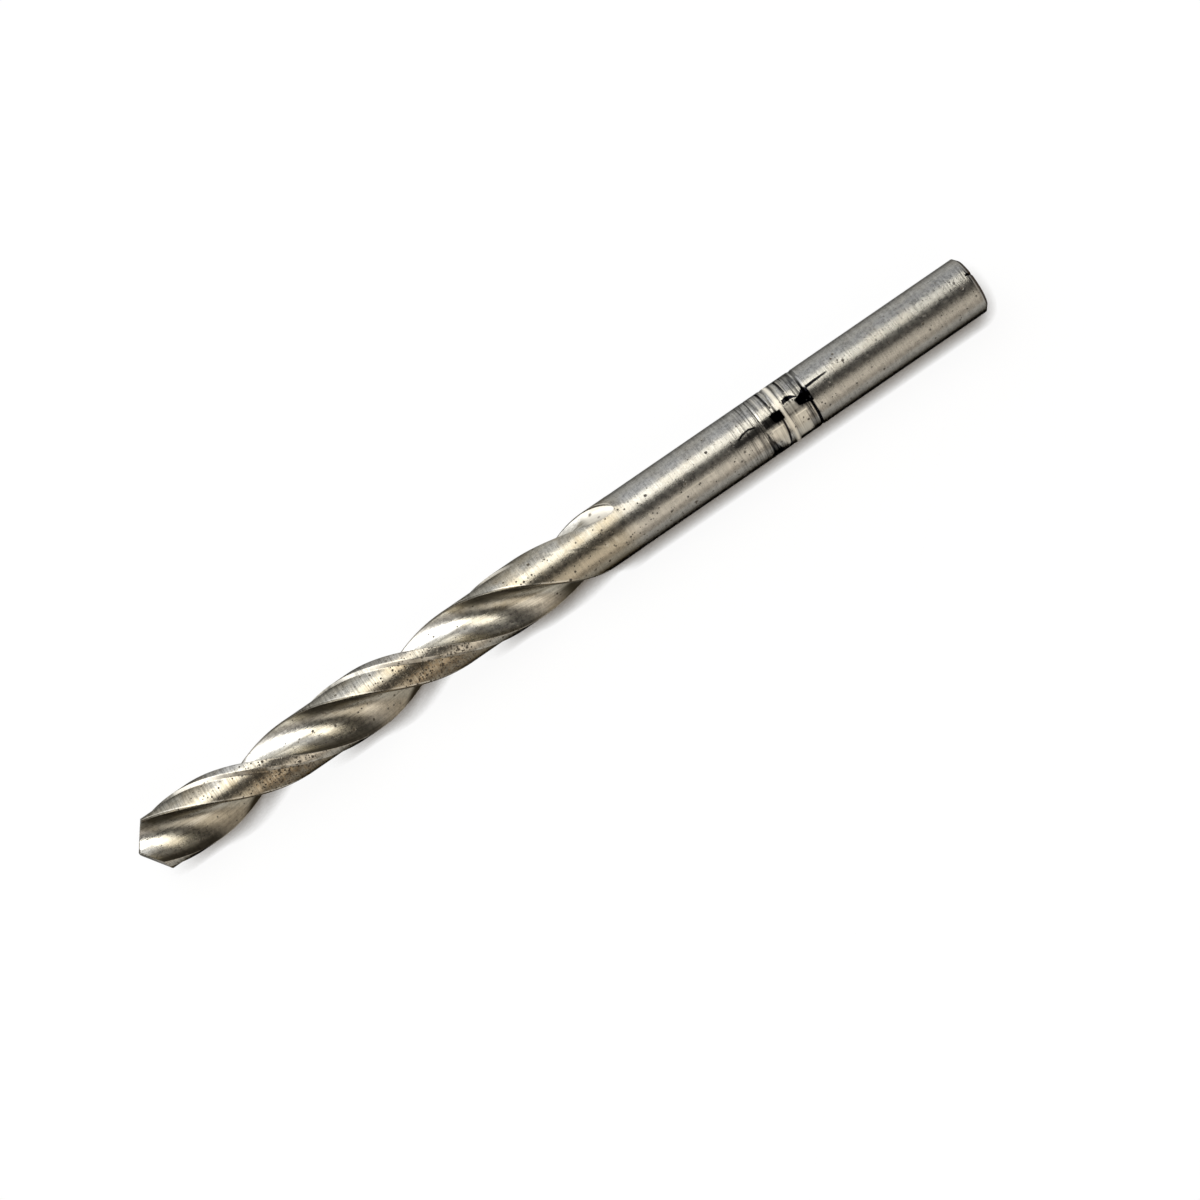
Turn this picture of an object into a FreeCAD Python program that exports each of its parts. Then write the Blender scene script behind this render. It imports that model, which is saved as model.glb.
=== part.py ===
"""A short twist drill: one bar of high speed steel, ground all over.

The drill lies along X, with its point toward -X and its plain shank toward +X. The origin is the middle
of the flat at the shank's end. The drill lies on its side, so +Z is up, and its roll about X is the
roll at which it lies. It turns right-handed in use: its flutes climb like a right-hand screw thread.

A station is the distance from the drill's point, measured along the axis. A flat section through the
drill has its own two directions, which turn with the helix: p along one cutting lip, and q ahead of it,
the way that the lip moves as it cuts. The other lip, with its flute, land and flank, is half a turn on.
"""

import FreeCAD, Part
import math
import os

# Lengths along the axis, in millimetres
overall_length = 86.0
flute_length = 49.6
end_chamfer = 0.42

# Diameters, in millimetres
cutting_diameter = 5.50
back_taper = 0.03
shank_diameter = 5.44

# Flutes
lead = 32.7
flute_width_deg = 101.0
point_web = 1.10
web_growth = 0.70
flute_wheel_radius = 62.0
roll_deg = -36.5

# Lands: the narrow margin that rubs in the hole, and the rest, which is ground lower to clear it
margin_width_deg = 16.0
clearance_depth = 0.24
clearance_length = 40.1
clearance_wheel_radius = 20.0
margin_step_deg = 4.0

# Point
point_angle_deg = 118.0
flank_cone_deg = 35.0
flank_cone_reach = 5.0
lip_relief_deg = 3.0

# Wear on the shank where a chuck has slipped: rings scored round it, and short dents beside them,
# each as distance from the shank's end, with width and depth, and a dent's place round the shank
rings = [
    (17.45, 0.46, 0.060),
    (20.45, 0.40, 0.035),
    (22.15, 0.26, 0.020),
]
dents = [
    (17.95, 1.10, 0.055, 93.0),
    (18.90, 1.00, 0.045, 78.0),
    (20.80, 1.10, 0.045, 93.0),
]
dent_ball_share = 0.75

# How finely the twisted forms are drawn, and how far a cutter reaches past the stock
stations_per_turn = 16
rake_points = 9
overcut = 0.9

cutting_radius = cutting_diameter / 2
shank_radius = shank_diameter / 2
half_web = point_web / 2
half_point = math.radians(point_angle_deg / 2)
helix_per_mm = 2 * math.pi / lead
land_width_deg = 180.0 - flute_width_deg

# A straight lip lies on the point's cone, so the flute's section runs ahead of it by this much per
# millimetre of lip
lip_twist = helix_per_mm / math.tan(half_point)


def lip_station():
    """Station of the plane where the two lips would pass the axis: the point stands a little behind it."""
    return -flank_depth_at_axis()


def axis_at(station):
    """The point of the drill's axis at a station."""
    return FreeCAD.Vector(station - overall_length, 0, 0)


def half_turn(shape):
    """A copy of a shape turned half a turn about the drill's axis, for the other lip."""
    return shape.rotated(axis_at(0), FreeCAD.Vector(1, 0, 0), 180)


def section_directions(station):
    """The directions p and q of the section at a station, as vectors across the axis."""
    turn = math.radians(roll_deg) + helix_per_mm * (station - lip_station())
    p_direction = FreeCAD.Vector(0, math.cos(turn), math.sin(turn))
    q_direction = FreeCAD.Vector(0, math.sin(turn), -math.cos(turn))
    return p_direction, q_direction


def place(p, q, station):
    """The point (p, q) of the section at a station."""
    p_direction, q_direction = section_directions(station)
    return axis_at(station) + p_direction * p + q_direction * q


def place_polar(radius, angle, station):
    """A point of the section by its radius and its angle from p toward q, in radians."""
    return place(radius * math.cos(angle), radius * math.sin(angle), station)


def leading_edge_angle():
    """Angle from p to the edge where the flute's rake side meets the margin, in radians."""
    lip_length = math.sqrt(cutting_radius**2 - half_web**2)
    return math.asin(half_web / cutting_radius) + lip_twist * lip_length


def wheel_lift(station, end_station, wheel_radius, full_lift):
    """How far a grinding wheel has risen at a station, when it has risen fully at the end station."""
    start = end_station - math.sqrt(wheel_radius**2 - (wheel_radius - full_lift) ** 2)
    if station <= start:
        return 0.0
    return wheel_radius - math.sqrt(wheel_radius**2 - (station - start) ** 2)


def flute_lift(station):
    """How far the flute's section stands out from its place at the point: the web grows, then the
    wheel leaves the bar along its own arc."""
    growth_there = web_growth / 2 * station / flute_length
    last_rise = cutting_radius - half_web - web_growth / 2
    return growth_there + wheel_lift(station, flute_length, flute_wheel_radius, last_rise)


def rake_point(along_lip, lift):
    """A point of the rake side of the flute, at a distance along the lip from the drill's middle."""
    turn = lip_twist * along_lip
    p = along_lip * math.cos(turn) - half_web * math.sin(turn)
    q = along_lip * math.sin(turn) + half_web * math.cos(turn)
    return p, q + lift


def flute_outline(station):
    """The wire of the flute's cutter at a station: the rake side, a round back up to the heel, and a
    closing stretch outside the bar."""
    lift = flute_lift(station)
    reach = cutting_radius + overcut

    def at(p, q):
        return place(p, q, station)

    steps = [reach * (1 - i / (rake_points - 1)) for i in range(rake_points)]
    rake = Part.BSplineCurve()
    rake.interpolate([at(*rake_point(step, lift)) for step in steps])

    # The round back leaves the web square to its middle and ends at the heel
    heel_angle = leading_edge_angle() + math.radians(flute_width_deg)
    heel_p = cutting_radius * math.cos(heel_angle)
    heel_q = cutting_radius * math.sin(heel_angle)
    rise = heel_q - half_web
    back_radius = (heel_p**2 + rise**2) / (2 * rise)
    sweep = math.atan2(-heel_p, back_radius - rise)
    middle_p = -back_radius * math.sin(sweep / 2)
    middle_q = half_web + back_radius * (1 - math.cos(sweep / 2))
    web_point = at(0, half_web + lift)
    heel_point = at(heel_p, heel_q + lift)
    back = Part.Arc(web_point, at(middle_p, middle_q + lift), heel_point)

    top = reach + lift
    heel_top = at(heel_p, top)
    rake_end_p, rake_end_q = rake_point(reach, lift)
    rake_top = at(rake_end_p, top)
    edges = [
        rake.toShape(),
        back.toShape(),
        Part.makeLine(heel_point, heel_top),
        Part.makeLine(heel_top, rake_top),
        Part.makeLine(rake_top, at(rake_end_p, rake_end_q)),
    ]
    return Part.Wire(edges)


def clearance_outline(station):
    """The wire of the cutter that lowers a land behind its margin, at a station."""
    lowered_radius = cutting_radius - clearance_depth
    lift = wheel_lift(station, clearance_length, clearance_wheel_radius, clearance_depth)
    inner = lowered_radius + lift
    outer = cutting_radius + overcut
    step_top = leading_edge_angle() - math.radians(margin_width_deg)
    step_foot = step_top - math.radians(margin_step_deg)
    past_heel = step_foot - math.radians(land_width_deg - margin_width_deg)

    # The step's slope is carried on outward, so that it meets the margin at its stated width
    slope = (step_top - step_foot) / clearance_depth
    step_outer = step_top + slope * (outer - cutting_radius - lift)

    def at(radius, angle):
        return place_polar(radius, angle, station)

    floor_middle = (step_foot + past_heel) / 2
    outer_middle = (step_outer + past_heel) / 2
    edges = [
        Part.Arc(at(inner, step_foot), at(inner, floor_middle), at(inner, past_heel)).toShape(),
        Part.makeLine(at(inner, past_heel), at(outer, past_heel)),
        Part.Arc(at(outer, past_heel), at(outer, outer_middle), at(outer, step_outer)).toShape(),
        Part.makeLine(at(outer, step_outer), at(inner, step_foot)),
    ]
    return Part.Wire(edges)


def twisted_cutter(outline, last_station):
    """A solid through one outline's wires, from in front of the point to a station."""
    length = last_station + overcut
    count = math.ceil(length * stations_per_turn / lead)
    stations = [length * i / count - overcut for i in range(count + 1)]
    return Part.makeLoft([outline(station) for station in stations], True, False)


def turned(start, start_radius, end, end_radius):
    """A turned length of the bar between two stations: a cylinder, or a cone where the radii differ."""
    along = FreeCAD.Vector(1, 0, 0)
    if start_radius == end_radius:
        return Part.makeCylinder(start_radius, end - start, axis_at(start), along)
    return Part.makeCone(start_radius, end_radius, end - start, axis_at(start), along)


def bar():
    """The turned bar before the flutes: a slight taper back from the point, then the plain shank."""
    back_radius = cutting_radius - back_taper / 2
    shank_start = flute_length + end_chamfer
    shank_stop = overall_length - end_chamfer
    body = turned(0, cutting_radius, flute_length, back_radius)
    body = body.fuse(turned(flute_length, back_radius, shank_start, shank_radius))
    body = body.fuse(turned(shank_start, shank_radius, shank_stop, shank_radius))
    return body.fuse(turned(shank_stop, shank_radius, overall_length, shank_radius - end_chamfer))


def flank_cone_lines(lip_direction, relief_direction):
    """Axis direction of the cone that touches the relief plane along the lip."""
    outward = lip_direction.cross(relief_direction)
    outward.normalize()
    if outward.x > 0:
        outward = outward * -1
    half_cone = math.radians(flank_cone_deg)
    return lip_direction * math.cos(half_cone) - outward * math.sin(half_cone)


def flank_directions(p_direction, q_direction):
    """The lip's direction outward from the axis, and the direction that falls away behind it."""
    toward_shank = FreeCAD.Vector(1, 0, 0)
    relief = math.radians(lip_relief_deg)
    lip_direction = p_direction * math.sin(half_point) + toward_shank * math.cos(half_point)
    relief_direction = q_direction * -math.cos(relief) + toward_shank * math.sin(relief)
    return lip_direction, relief_direction


def flank_depth_at_axis():
    """How far behind the lips' plane a flank's cone crosses the drill's axis."""
    p_direction = FreeCAD.Vector(0, 1, 0)
    q_direction = FreeCAD.Vector(0, 0, -1)
    lip_direction, relief_direction = flank_directions(p_direction, q_direction)
    axis = flank_cone_lines(lip_direction, relief_direction)
    from_apex = q_direction * -half_web + lip_direction * flank_cone_reach

    # A point of the axis lies on the cone where its distance along the cone's axis, squared, is this
    # share of its distance from the apex, squared, which is a quadratic in the depth
    share = math.cos(math.radians(flank_cone_deg)) ** 2
    along = from_apex.dot(axis)
    square = axis.x**2 - share
    linear = 2 * (along * axis.x - share * from_apex.x)
    constant = along**2 - share * from_apex.dot(from_apex)
    root = math.sqrt(linear**2 - 4 * square * constant)
    return min(abs((-linear + sign * root) / (2 * square)) for sign in (-1, 1))


def flank_waste():
    """What the wheel grinds away in front of a lip's flank: the front of the bar outside a cone."""
    station = lip_station()
    p_direction, q_direction = section_directions(station)
    lip_direction, relief_direction = flank_directions(p_direction, q_direction)
    cone_axis = flank_cone_lines(lip_direction, relief_direction)
    apex = axis_at(station) + q_direction * half_web - lip_direction * flank_cone_reach
    cone_radius = overall_length * math.tan(math.radians(flank_cone_deg))
    cone = Part.makeCone(0, cone_radius, overall_length, apex, cone_axis)
    front = Part.makeCylinder(
        cutting_radius + overcut,
        cutting_diameter + overcut,
        axis_at(-overcut),
        FreeCAD.Vector(1, 0, 0),
    )
    return front.cut(cone)


def ring_cutter(from_end, width, depth):
    """A ring that scores a vee groove of this width and depth round the shank."""
    middle = overall_length - from_end
    start = middle - width / 2
    end = middle + width / 2
    ring = turned(start, cutting_radius + overcut, end, cutting_radius + overcut)
    core = turned(start, shank_radius, middle, shank_radius - depth)
    return ring.cut(core.fuse(turned(middle, shank_radius - depth, end, shank_radius)))


def dent_cutter(from_end, width, depth, angle_deg):
    """A ball that leaves a shallow round dent of this width and depth in the shank."""
    half = width * dent_ball_share / 2
    ball_radius = (half**2 + depth**2) / (2 * depth)
    angle = math.radians(angle_deg)
    outward = FreeCAD.Vector(0, math.cos(angle), math.sin(angle))
    centre = axis_at(overall_length - from_end) + outward * (shank_radius - depth + ball_radius)
    return Part.makeSphere(ball_radius, centre)


def drill_bit():
    """The finished drill as one solid."""
    body = bar()
    flute = twisted_cutter(flute_outline, flute_length + overcut)
    clearance = twisted_cutter(clearance_outline, clearance_length + overcut)
    for waste in (flute, clearance, flank_waste()):
        body = body.cut(waste)
        body = body.cut(half_turn(waste))
    for ring in rings:
        body = body.cut(ring_cutter(*ring))
    for dent in dents:
        body = body.cut(dent_cutter(*dent))
    return body


def main():
    """Build the drill and write it."""
    os.makedirs("parts", exist_ok=True)
    drill = drill_bit()
    print("solids", len(drill.Solids), "valid", drill.isValid(), "volume", round(drill.Volume, 2))
    drill.Solids[0].exportStep("parts/drill_bit.step")


main()
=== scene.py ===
"""A used twist drill bit, ground from one bar of high speed steel, lying on white paper.

The drill lies along X with its point toward -X, as the solid does. Its mesh is a tube of lines that run
along the helix, each line keeping its own place in the drill's section, and a patch over the two flanks
of the point. Sizes are in millimetres here and turn to metres where vertices are written.

A station is a distance from the drill's point along its axis. A flat section has two directions that turn
with the helix: p along one lip, and q ahead of it, the way that the lip moves as it cuts.
"""

import logging
import math
from dataclasses import dataclass
from enum import Enum

import bpy
import numpy as np
from mathutils import Matrix, Vector


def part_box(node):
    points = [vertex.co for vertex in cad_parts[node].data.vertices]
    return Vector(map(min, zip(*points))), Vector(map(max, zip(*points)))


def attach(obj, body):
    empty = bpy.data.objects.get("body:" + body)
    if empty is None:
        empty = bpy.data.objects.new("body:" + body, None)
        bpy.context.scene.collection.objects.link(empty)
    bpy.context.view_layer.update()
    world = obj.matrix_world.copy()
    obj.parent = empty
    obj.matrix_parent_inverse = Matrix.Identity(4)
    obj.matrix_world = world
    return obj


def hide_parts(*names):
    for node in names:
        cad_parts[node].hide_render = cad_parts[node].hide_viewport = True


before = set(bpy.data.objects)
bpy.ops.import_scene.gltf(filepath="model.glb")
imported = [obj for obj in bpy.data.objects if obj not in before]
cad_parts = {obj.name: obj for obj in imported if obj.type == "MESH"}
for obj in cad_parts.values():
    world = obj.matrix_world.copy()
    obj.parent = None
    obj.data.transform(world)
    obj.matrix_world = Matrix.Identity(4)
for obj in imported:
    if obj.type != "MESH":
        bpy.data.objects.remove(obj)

Socket = bpy.types.NodeSocket

MM = 0.001
TINY = 1e-9
log = logging.getLogger("twist_drill")

# Kinds of node, and settings that many of them share.
MATH = "ShaderNodeMath"
VECTOR = "ShaderNodeVectorMath"
RANGE = "ShaderNodeMapRange"
NOISE = "ShaderNodeTexNoise"
MIX = "ShaderNodeMix"
SPLIT = "ShaderNodeSeparateXYZ"
SMOOTH = {"interpolation_type": "SMOOTHSTEP"}
PLUS = {"operation": "ADD"}
MINUS = {"operation": "SUBTRACT"}
TIMES = {"operation": "MULTIPLY"}
CLAMPED = {"operation": "MULTIPLY", "use_clamp": True}
TIMES_PLUS = {"operation": "MULTIPLY_ADD"}
MOST = {"operation": "MAXIMUM"}
SCALED = {"operation": "SCALE"}
FACING = {"operation": "DOT_PRODUCT"}
COLOURS = {"data_type": "RGBA"}


def linear(hex_colour: str) -> tuple[float, float, float, float]:
    """Turn an sRGB hex colour to linear values.

    Args:
        hex_colour: Six hex digits after a hash sign.

    Returns:
        Red, green, blue and alpha, as a shader's colour socket takes them.
    """
    channels = [int(hex_colour[i : i + 2], 16) / 255 for i in (1, 3, 5)]
    turned = [c / 12.92 if c <= 0.04045 else ((c + 0.055) / 1.055) ** 2.4 for c in channels]
    return turned[0], turned[1], turned[2], 1.0


def node(tree: bpy.types.NodeTree, kind: str, sets: dict | None = None, **inputs: object) -> bpy.types.Node:
    """Add a node with its settings, and give its inputs values or links.

    Args:
        tree: The node tree to add to.
        kind: The node's type name.
        sets: Settings of the node itself, by name.
        inputs: Values or output sockets, by the input's name with underscores for blanks, or by i and
            its number.

    Returns:
        The new node.
    """
    made = tree.nodes.new(kind)
    for name, value in (sets or {}).items():
        setattr(made, name, value)
    for name, value in inputs.items():
        numbered = name[0] == "i" and name[1:].isdigit()
        socket = made.inputs[int(name[1:])] if numbered else made.inputs[name.replace("_", " ")]
        if isinstance(value, Socket):
            tree.links.new(value, socket)
        else:
            socket.default_value = value
    return made


@dataclass(frozen=True)
class DrillSizes:
    """The drill's sizes in millimetres and degrees, the same as the solid's."""

    overall_length: float = 86.0
    flute_length: float = 49.6
    end_chamfer: float = 0.42
    cutting_radius: float = 2.75
    back_taper: float = 0.03
    shank_radius: float = 2.72
    lead: float = 32.7
    flute_width_deg: float = 101.0
    half_web: float = 0.55
    web_growth: float = 0.70
    flute_wheel_radius: float = 62.0
    roll_deg: float = -36.5
    margin_width_deg: float = 16.0
    margin_step_deg: float = 4.0
    clearance_depth: float = 0.24
    clearance_length: float = 40.1
    clearance_wheel_radius: float = 20.0
    half_point_deg: float = 59.0
    flank_cone_deg: float = 35.0
    flank_cone_reach: float = 5.0
    lip_relief_deg: float = 3.0

    @property
    def helix_per_mm(self) -> float:
        """How far the section turns along the axis, in radians per millimetre."""
        return 2 * math.pi / self.lead

    @property
    def lip_twist(self) -> float:
        """How far the rake side turns ahead per millimetre of lip, so that the lip comes out straight."""
        return self.helix_per_mm / math.tan(math.radians(self.half_point_deg))

    @property
    def leading_angle(self) -> float:
        """Angle from p to the leading edge of the margin, in radians."""
        lip = math.sqrt(self.cutting_radius**2 - self.half_web**2)
        return math.asin(self.half_web / self.cutting_radius) + self.lip_twist * lip

    @property
    def back_radius(self) -> float:
        """Radius of the flute's round back, from the web to the heel."""
        heel = self.leading_angle + math.radians(self.flute_width_deg)
        rise = self.cutting_radius * math.sin(heel) - self.half_web
        return ((self.cutting_radius * math.cos(heel)) ** 2 + rise**2) / (2 * rise)


def wheel_lift(station: float, end: float, wheel: float, full: float) -> float:
    """How far a grinding wheel has risen at a station, when it has risen fully at the end station."""
    start = end - math.sqrt(wheel**2 - (wheel - full) ** 2)
    if station <= start:
        return 0.0
    return wheel - math.sqrt(wheel**2 - (station - start) ** 2)


def arc_points(radius: float, first: float, last: float, count: int) -> np.ndarray:
    """Points of an arc about the axis, by radius and the angles it runs between, in radians."""
    angles = np.linspace(first, last, count)
    return np.stack([radius * np.cos(angles), radius * np.sin(angles)], -1)


def arc_point(radius: float, angle: float) -> np.ndarray:
    """One point, by its radius and angle."""
    return arc_points(radius, angle, angle, 1)[0]


def eased_corner(
    before: np.ndarray, corner: np.ndarray, after: np.ndarray, shares: list[float]
) -> np.ndarray:
    """Points of the round that wear leaves on a corner.

    Args:
        before: Where the round leaves the first side.
        corner: The sharp corner.
        after: Where the round meets the second side.
        shares: How far along the round each point is, from 0 to 1.

    Returns:
        One point for each share.
    """
    u = np.array(shares)[:, None]
    return (1 - u) ** 2 * before + 2 * u * (1 - u) * corner + u**2 * after


@dataclass(frozen=True)
class Section:
    """The drill's section: two flutes and two lands, as a closed outline of lines in order.

    Half of it runs from the middle of one worn leading edge, down the rake side and up the round back
    to the heel of the other land, and along that land to its own leading edge. Wear eases the leading edge,
    the heel from the flute's side and from the land's, and the step behind the margin.
    """

    sizes: DrillSizes = DrillSizes()
    # How many lines lie on each half of a flute, on a land's floor and on its margin.
    flute_steps: int = 26
    floor_steps: int = 16
    margin_steps: int = 6
    # How closely a flute is worked out before its lines are laid on it, and the least that is left of it.
    rake_steps: int = 700
    side_steps: int = 90
    least_side: float = 0.004
    # How far wear has eased each edge, and the most that it takes of a flute's line or of the step.
    worn_edge: float = 0.055
    worn_heel: float = 0.12
    worn_land: float = 0.21
    worn_step: float = 0.05
    most_worn: float = 0.12
    most_step: float = 0.4
    # How far past the rake side a flute's middle line lies, by the lean of the chisel edge.
    chisel_lean_deg: float = 22.0
    most_chisel: float = 0.25
    step_spread_deg: float = 3.0
    heel_line_mm: float = 0.06
    # The flutes are followed to this far from their end. Over the next stretch their lines spread evenly.
    tail_gap: float = 0.01
    spread_length: float = 5.0

    @property
    def heel_line(self) -> int:
        """Number of the line at the middle of the worn heel."""
        return 2 * self.flute_steps + 4

    @property
    def step_line(self) -> int:
        """Number of the line at the worn top of the step behind the margin."""
        return self.heel_line + self.floor_steps + 6

    @property
    def half_count(self) -> int:
        """How many lines half of the outline has."""
        return self.step_line + self.margin_steps + 3

    def flute_lift(self, station: float) -> float:
        """How far the flute stands out from its place at the point."""
        z = self.sizes
        last_rise = z.cutting_radius - z.half_web - z.web_growth / 2
        rise = wheel_lift(station, z.flute_length, z.flute_wheel_radius, last_rise)
        return z.web_growth / 2 * station / z.flute_length + rise

    def bar_radius(self, station: float) -> float:
        """Radius of the bar that the flutes are ground in."""
        z = self.sizes
        back = z.cutting_radius - z.back_taper / 2
        if station <= z.flute_length:
            return z.cutting_radius - z.back_taper / 2 * station / z.flute_length
        share = min(1.0, (station - z.flute_length) / z.end_chamfer)
        return back + (z.shank_radius - back) * share

    def floor_radius(self, station: float) -> float:
        """Radius of a land behind its margin."""
        z = self.sizes
        lift = wheel_lift(station, z.clearance_length, z.clearance_wheel_radius, z.clearance_depth)
        return min(self.bar_radius(station), z.cutting_radius - z.clearance_depth + lift)

    def rake_side(self, along: np.ndarray, lift: float) -> np.ndarray:
        """Points of a flute's rake side, by their distances along the lip.

        Args:
            along: The distances.
            lift: How far the flute stands out from its place at the point.

        Returns:
            One point (p, q) for each distance.
        """
        z = self.sizes
        turn = z.lip_twist * along
        p = along * np.cos(turn) - z.half_web * np.sin(turn)
        q = along * np.sin(turn) + z.half_web * np.cos(turn) + lift
        return np.stack([p, q], -1)

    def flute_path(self, station: float) -> tuple[np.ndarray, float]:
        """The flute's line at a station.

        Args:
            station: Distance from the point.

        Returns:
            Close points from the leading edge to the heel, and the length of the rake side.
        """
        z = self.sizes
        lift = self.flute_lift(station)
        bar = self.bar_radius(station)
        along = np.linspace(0.0, z.cutting_radius, self.rake_steps)
        reach = np.hypot(*self.rake_side(along, lift).T)
        inside = max(2, int(np.searchsorted(reach, bar)))
        span = max(reach[inside] - reach[inside - 1], TINY) if inside < len(reach) else 1.0
        share = (bar - reach[inside - 1]) / span if inside < len(reach) else 0.0
        edge = along[inside - 1] + min(max(share, 0.0), 1.0) * (along[1] - along[0])
        edge = max(edge, self.least_side)
        rake = self.rake_side(np.linspace(edge, 0.0, self.side_steps), lift)
        centre = z.half_web + lift + z.back_radius
        heel = self.floor_radius(station)
        cosine = (z.back_radius**2 + centre**2 - heel**2) / (2 * centre * z.back_radius)
        sweep = max(math.acos(min(1.0, cosine)), self.least_side)
        lighter_where = np.linspace(0.0, sweep, self.side_steps)[1:]
        back = np.stack([-z.back_radius * np.sin(lighter_where), centre - z.back_radius * np.cos(lighter_where)], -1)
        rake_length = float(np.hypot(*np.diff(rake, axis=0).T).sum())
        return np.vstack([rake, back]), rake_length

    def land(self, station: float, edges: tuple[float, float], eased: tuple[float, float]) -> np.ndarray:
        """The lines of a land, from its worn heel over the step to its leading edge.

        Args:
            station: Distance from the point.
            edges: Angles of its heel and its leading edge.
            eased: How far wear has eased them, along the land.

        Returns:
            Points (p, q).
        """
        z, worn = self.sizes, self.worn_step
        bar, floor = self.bar_radius(station), self.floor_radius(station)
        (heel_at, lead_at), (lip, ease) = edges, eased
        top_at = z.leading_angle + math.pi - math.radians(z.margin_width_deg)
        foot_at = top_at - math.radians(z.margin_step_deg + self.step_spread_deg)
        beside_heel = heel_at + (lip + self.heel_line_mm) / floor
        behind = arc_points(floor, beside_heel, foot_at - worn / floor, self.floor_steps)
        margin = arc_points(bar, top_at + worn / bar, lead_at - ease / bar, self.margin_steps + 1)
        foot, top = arc_point(floor, foot_at), arc_point(bar, top_at)
        rise = float(np.hypot(*(top - foot)))
        slope = (top - foot) / max(rise, TINY) * min(worn, self.most_step * rise)
        pieces = [
            arc_point(floor, heel_at + lip / floor)[None],
            behind,
            eased_corner(behind[-1], foot, foot + slope, [0.5]),
            np.stack([foot + slope, top - slope]),
            eased_corner(top - slope, top, margin[0], [0.5]),
            margin,
        ]
        return np.vstack(pieces)

    def half_outline(self, station: float) -> tuple[np.ndarray, np.ndarray]:
        """Half of the outline where the flute is open.

        Args:
            station: Distance from the point.

        Returns:
            Points (p, q) of the lines in order, and each line's way across the flute from 0 at the
            leading edge to 1 at the heel, or -1 on the land.
        """
        path, rake_length = self.flute_path(station)
        lengths = np.concatenate([[0.0], np.cumsum(np.hypot(*np.diff(path, axis=0).T))])
        whole = lengths[-1]
        ease, under, lip = (
            min(worn, self.most_worn * whole) for worn in (self.worn_edge, self.worn_heel, self.worn_land)
        )
        chisel = self.sizes.half_web * math.tan(math.radians(self.chisel_lean_deg))
        middle = rake_length + min(chisel, self.most_chisel * (whole - rake_length))

        def on_path(distance: np.ndarray) -> np.ndarray:
            """Points of the flute's line at distances along it."""
            return np.stack([np.interp(distance, lengths, path[:, i]) for i in (0, 1)], -1)

        n = self.flute_steps + 1
        inner = np.concatenate([np.linspace(ease, middle, n), np.linspace(middle, whole - under, n)[1:]])
        bar, floor = self.bar_radius(station), self.floor_radius(station)
        lead_at, heel_at = (math.atan2(q, p) for p, q in (path[0], path[-1]))
        on_margin = arc_point(bar, lead_at - ease / bar)
        on_rake, on_back = on_path(np.array([ease, whole - under]))
        land = self.land(station, (heel_at, lead_at + math.pi), (lip, ease))
        lead = eased_corner(on_margin, arc_point(bar, lead_at), on_rake, [0.0, 0.25, 0.5, 0.75])
        heel = eased_corner(on_back, arc_point(floor, heel_at), land[0], [0.25, 0.5, 0.75])
        across = np.full(self.half_count, -1.0)
        across[2 : 2 + len(inner)] = inner / whole
        return np.vstack([lead[2:], on_path(inner), heel, land, -lead[1:2]]), across

    def outline(self, station: float) -> np.ndarray:
        """The whole outline at a station, in p and q: past the flutes it is round."""
        z = self.sizes
        tail = z.flute_length - self.tail_gap
        half = self.half_outline(min(station, tail))[0]
        whole = np.vstack([half, -half])
        if station <= tail:
            return whole
        bunched = np.unwrap(np.arctan2(whole[:, 1], whole[:, 0]))
        even = bunched[0] + np.arange(len(whole)) * 2 * math.pi / len(whole)
        even += (bunched - even).mean()
        share = min(1.0, (station - tail) / self.spread_length)
        share = share * share * (3 - 2 * share)
        angles = bunched + (even - bunched) * share
        bar = self.bar_radius(station)
        return np.stack([bar * np.cos(angles), bar * np.sin(angles)], -1)

    def turned(self, outline: np.ndarray, station: np.ndarray) -> np.ndarray:
        """Points (p, q) as places in the drill's frame, each at its own station, in millimetres."""
        z = self.sizes
        past_lips = np.minimum(station, z.flute_length) - PointGrind(z).lip_station
        turn = math.radians(z.roll_deg) + z.helix_per_mm * past_lips
        p, q = outline[:, 0], outline[:, 1]
        y = p * np.cos(turn) + q * np.sin(turn)
        height = p * np.sin(turn) - q * np.cos(turn)
        return np.stack([station - z.overall_length, y, height], -1)


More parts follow.
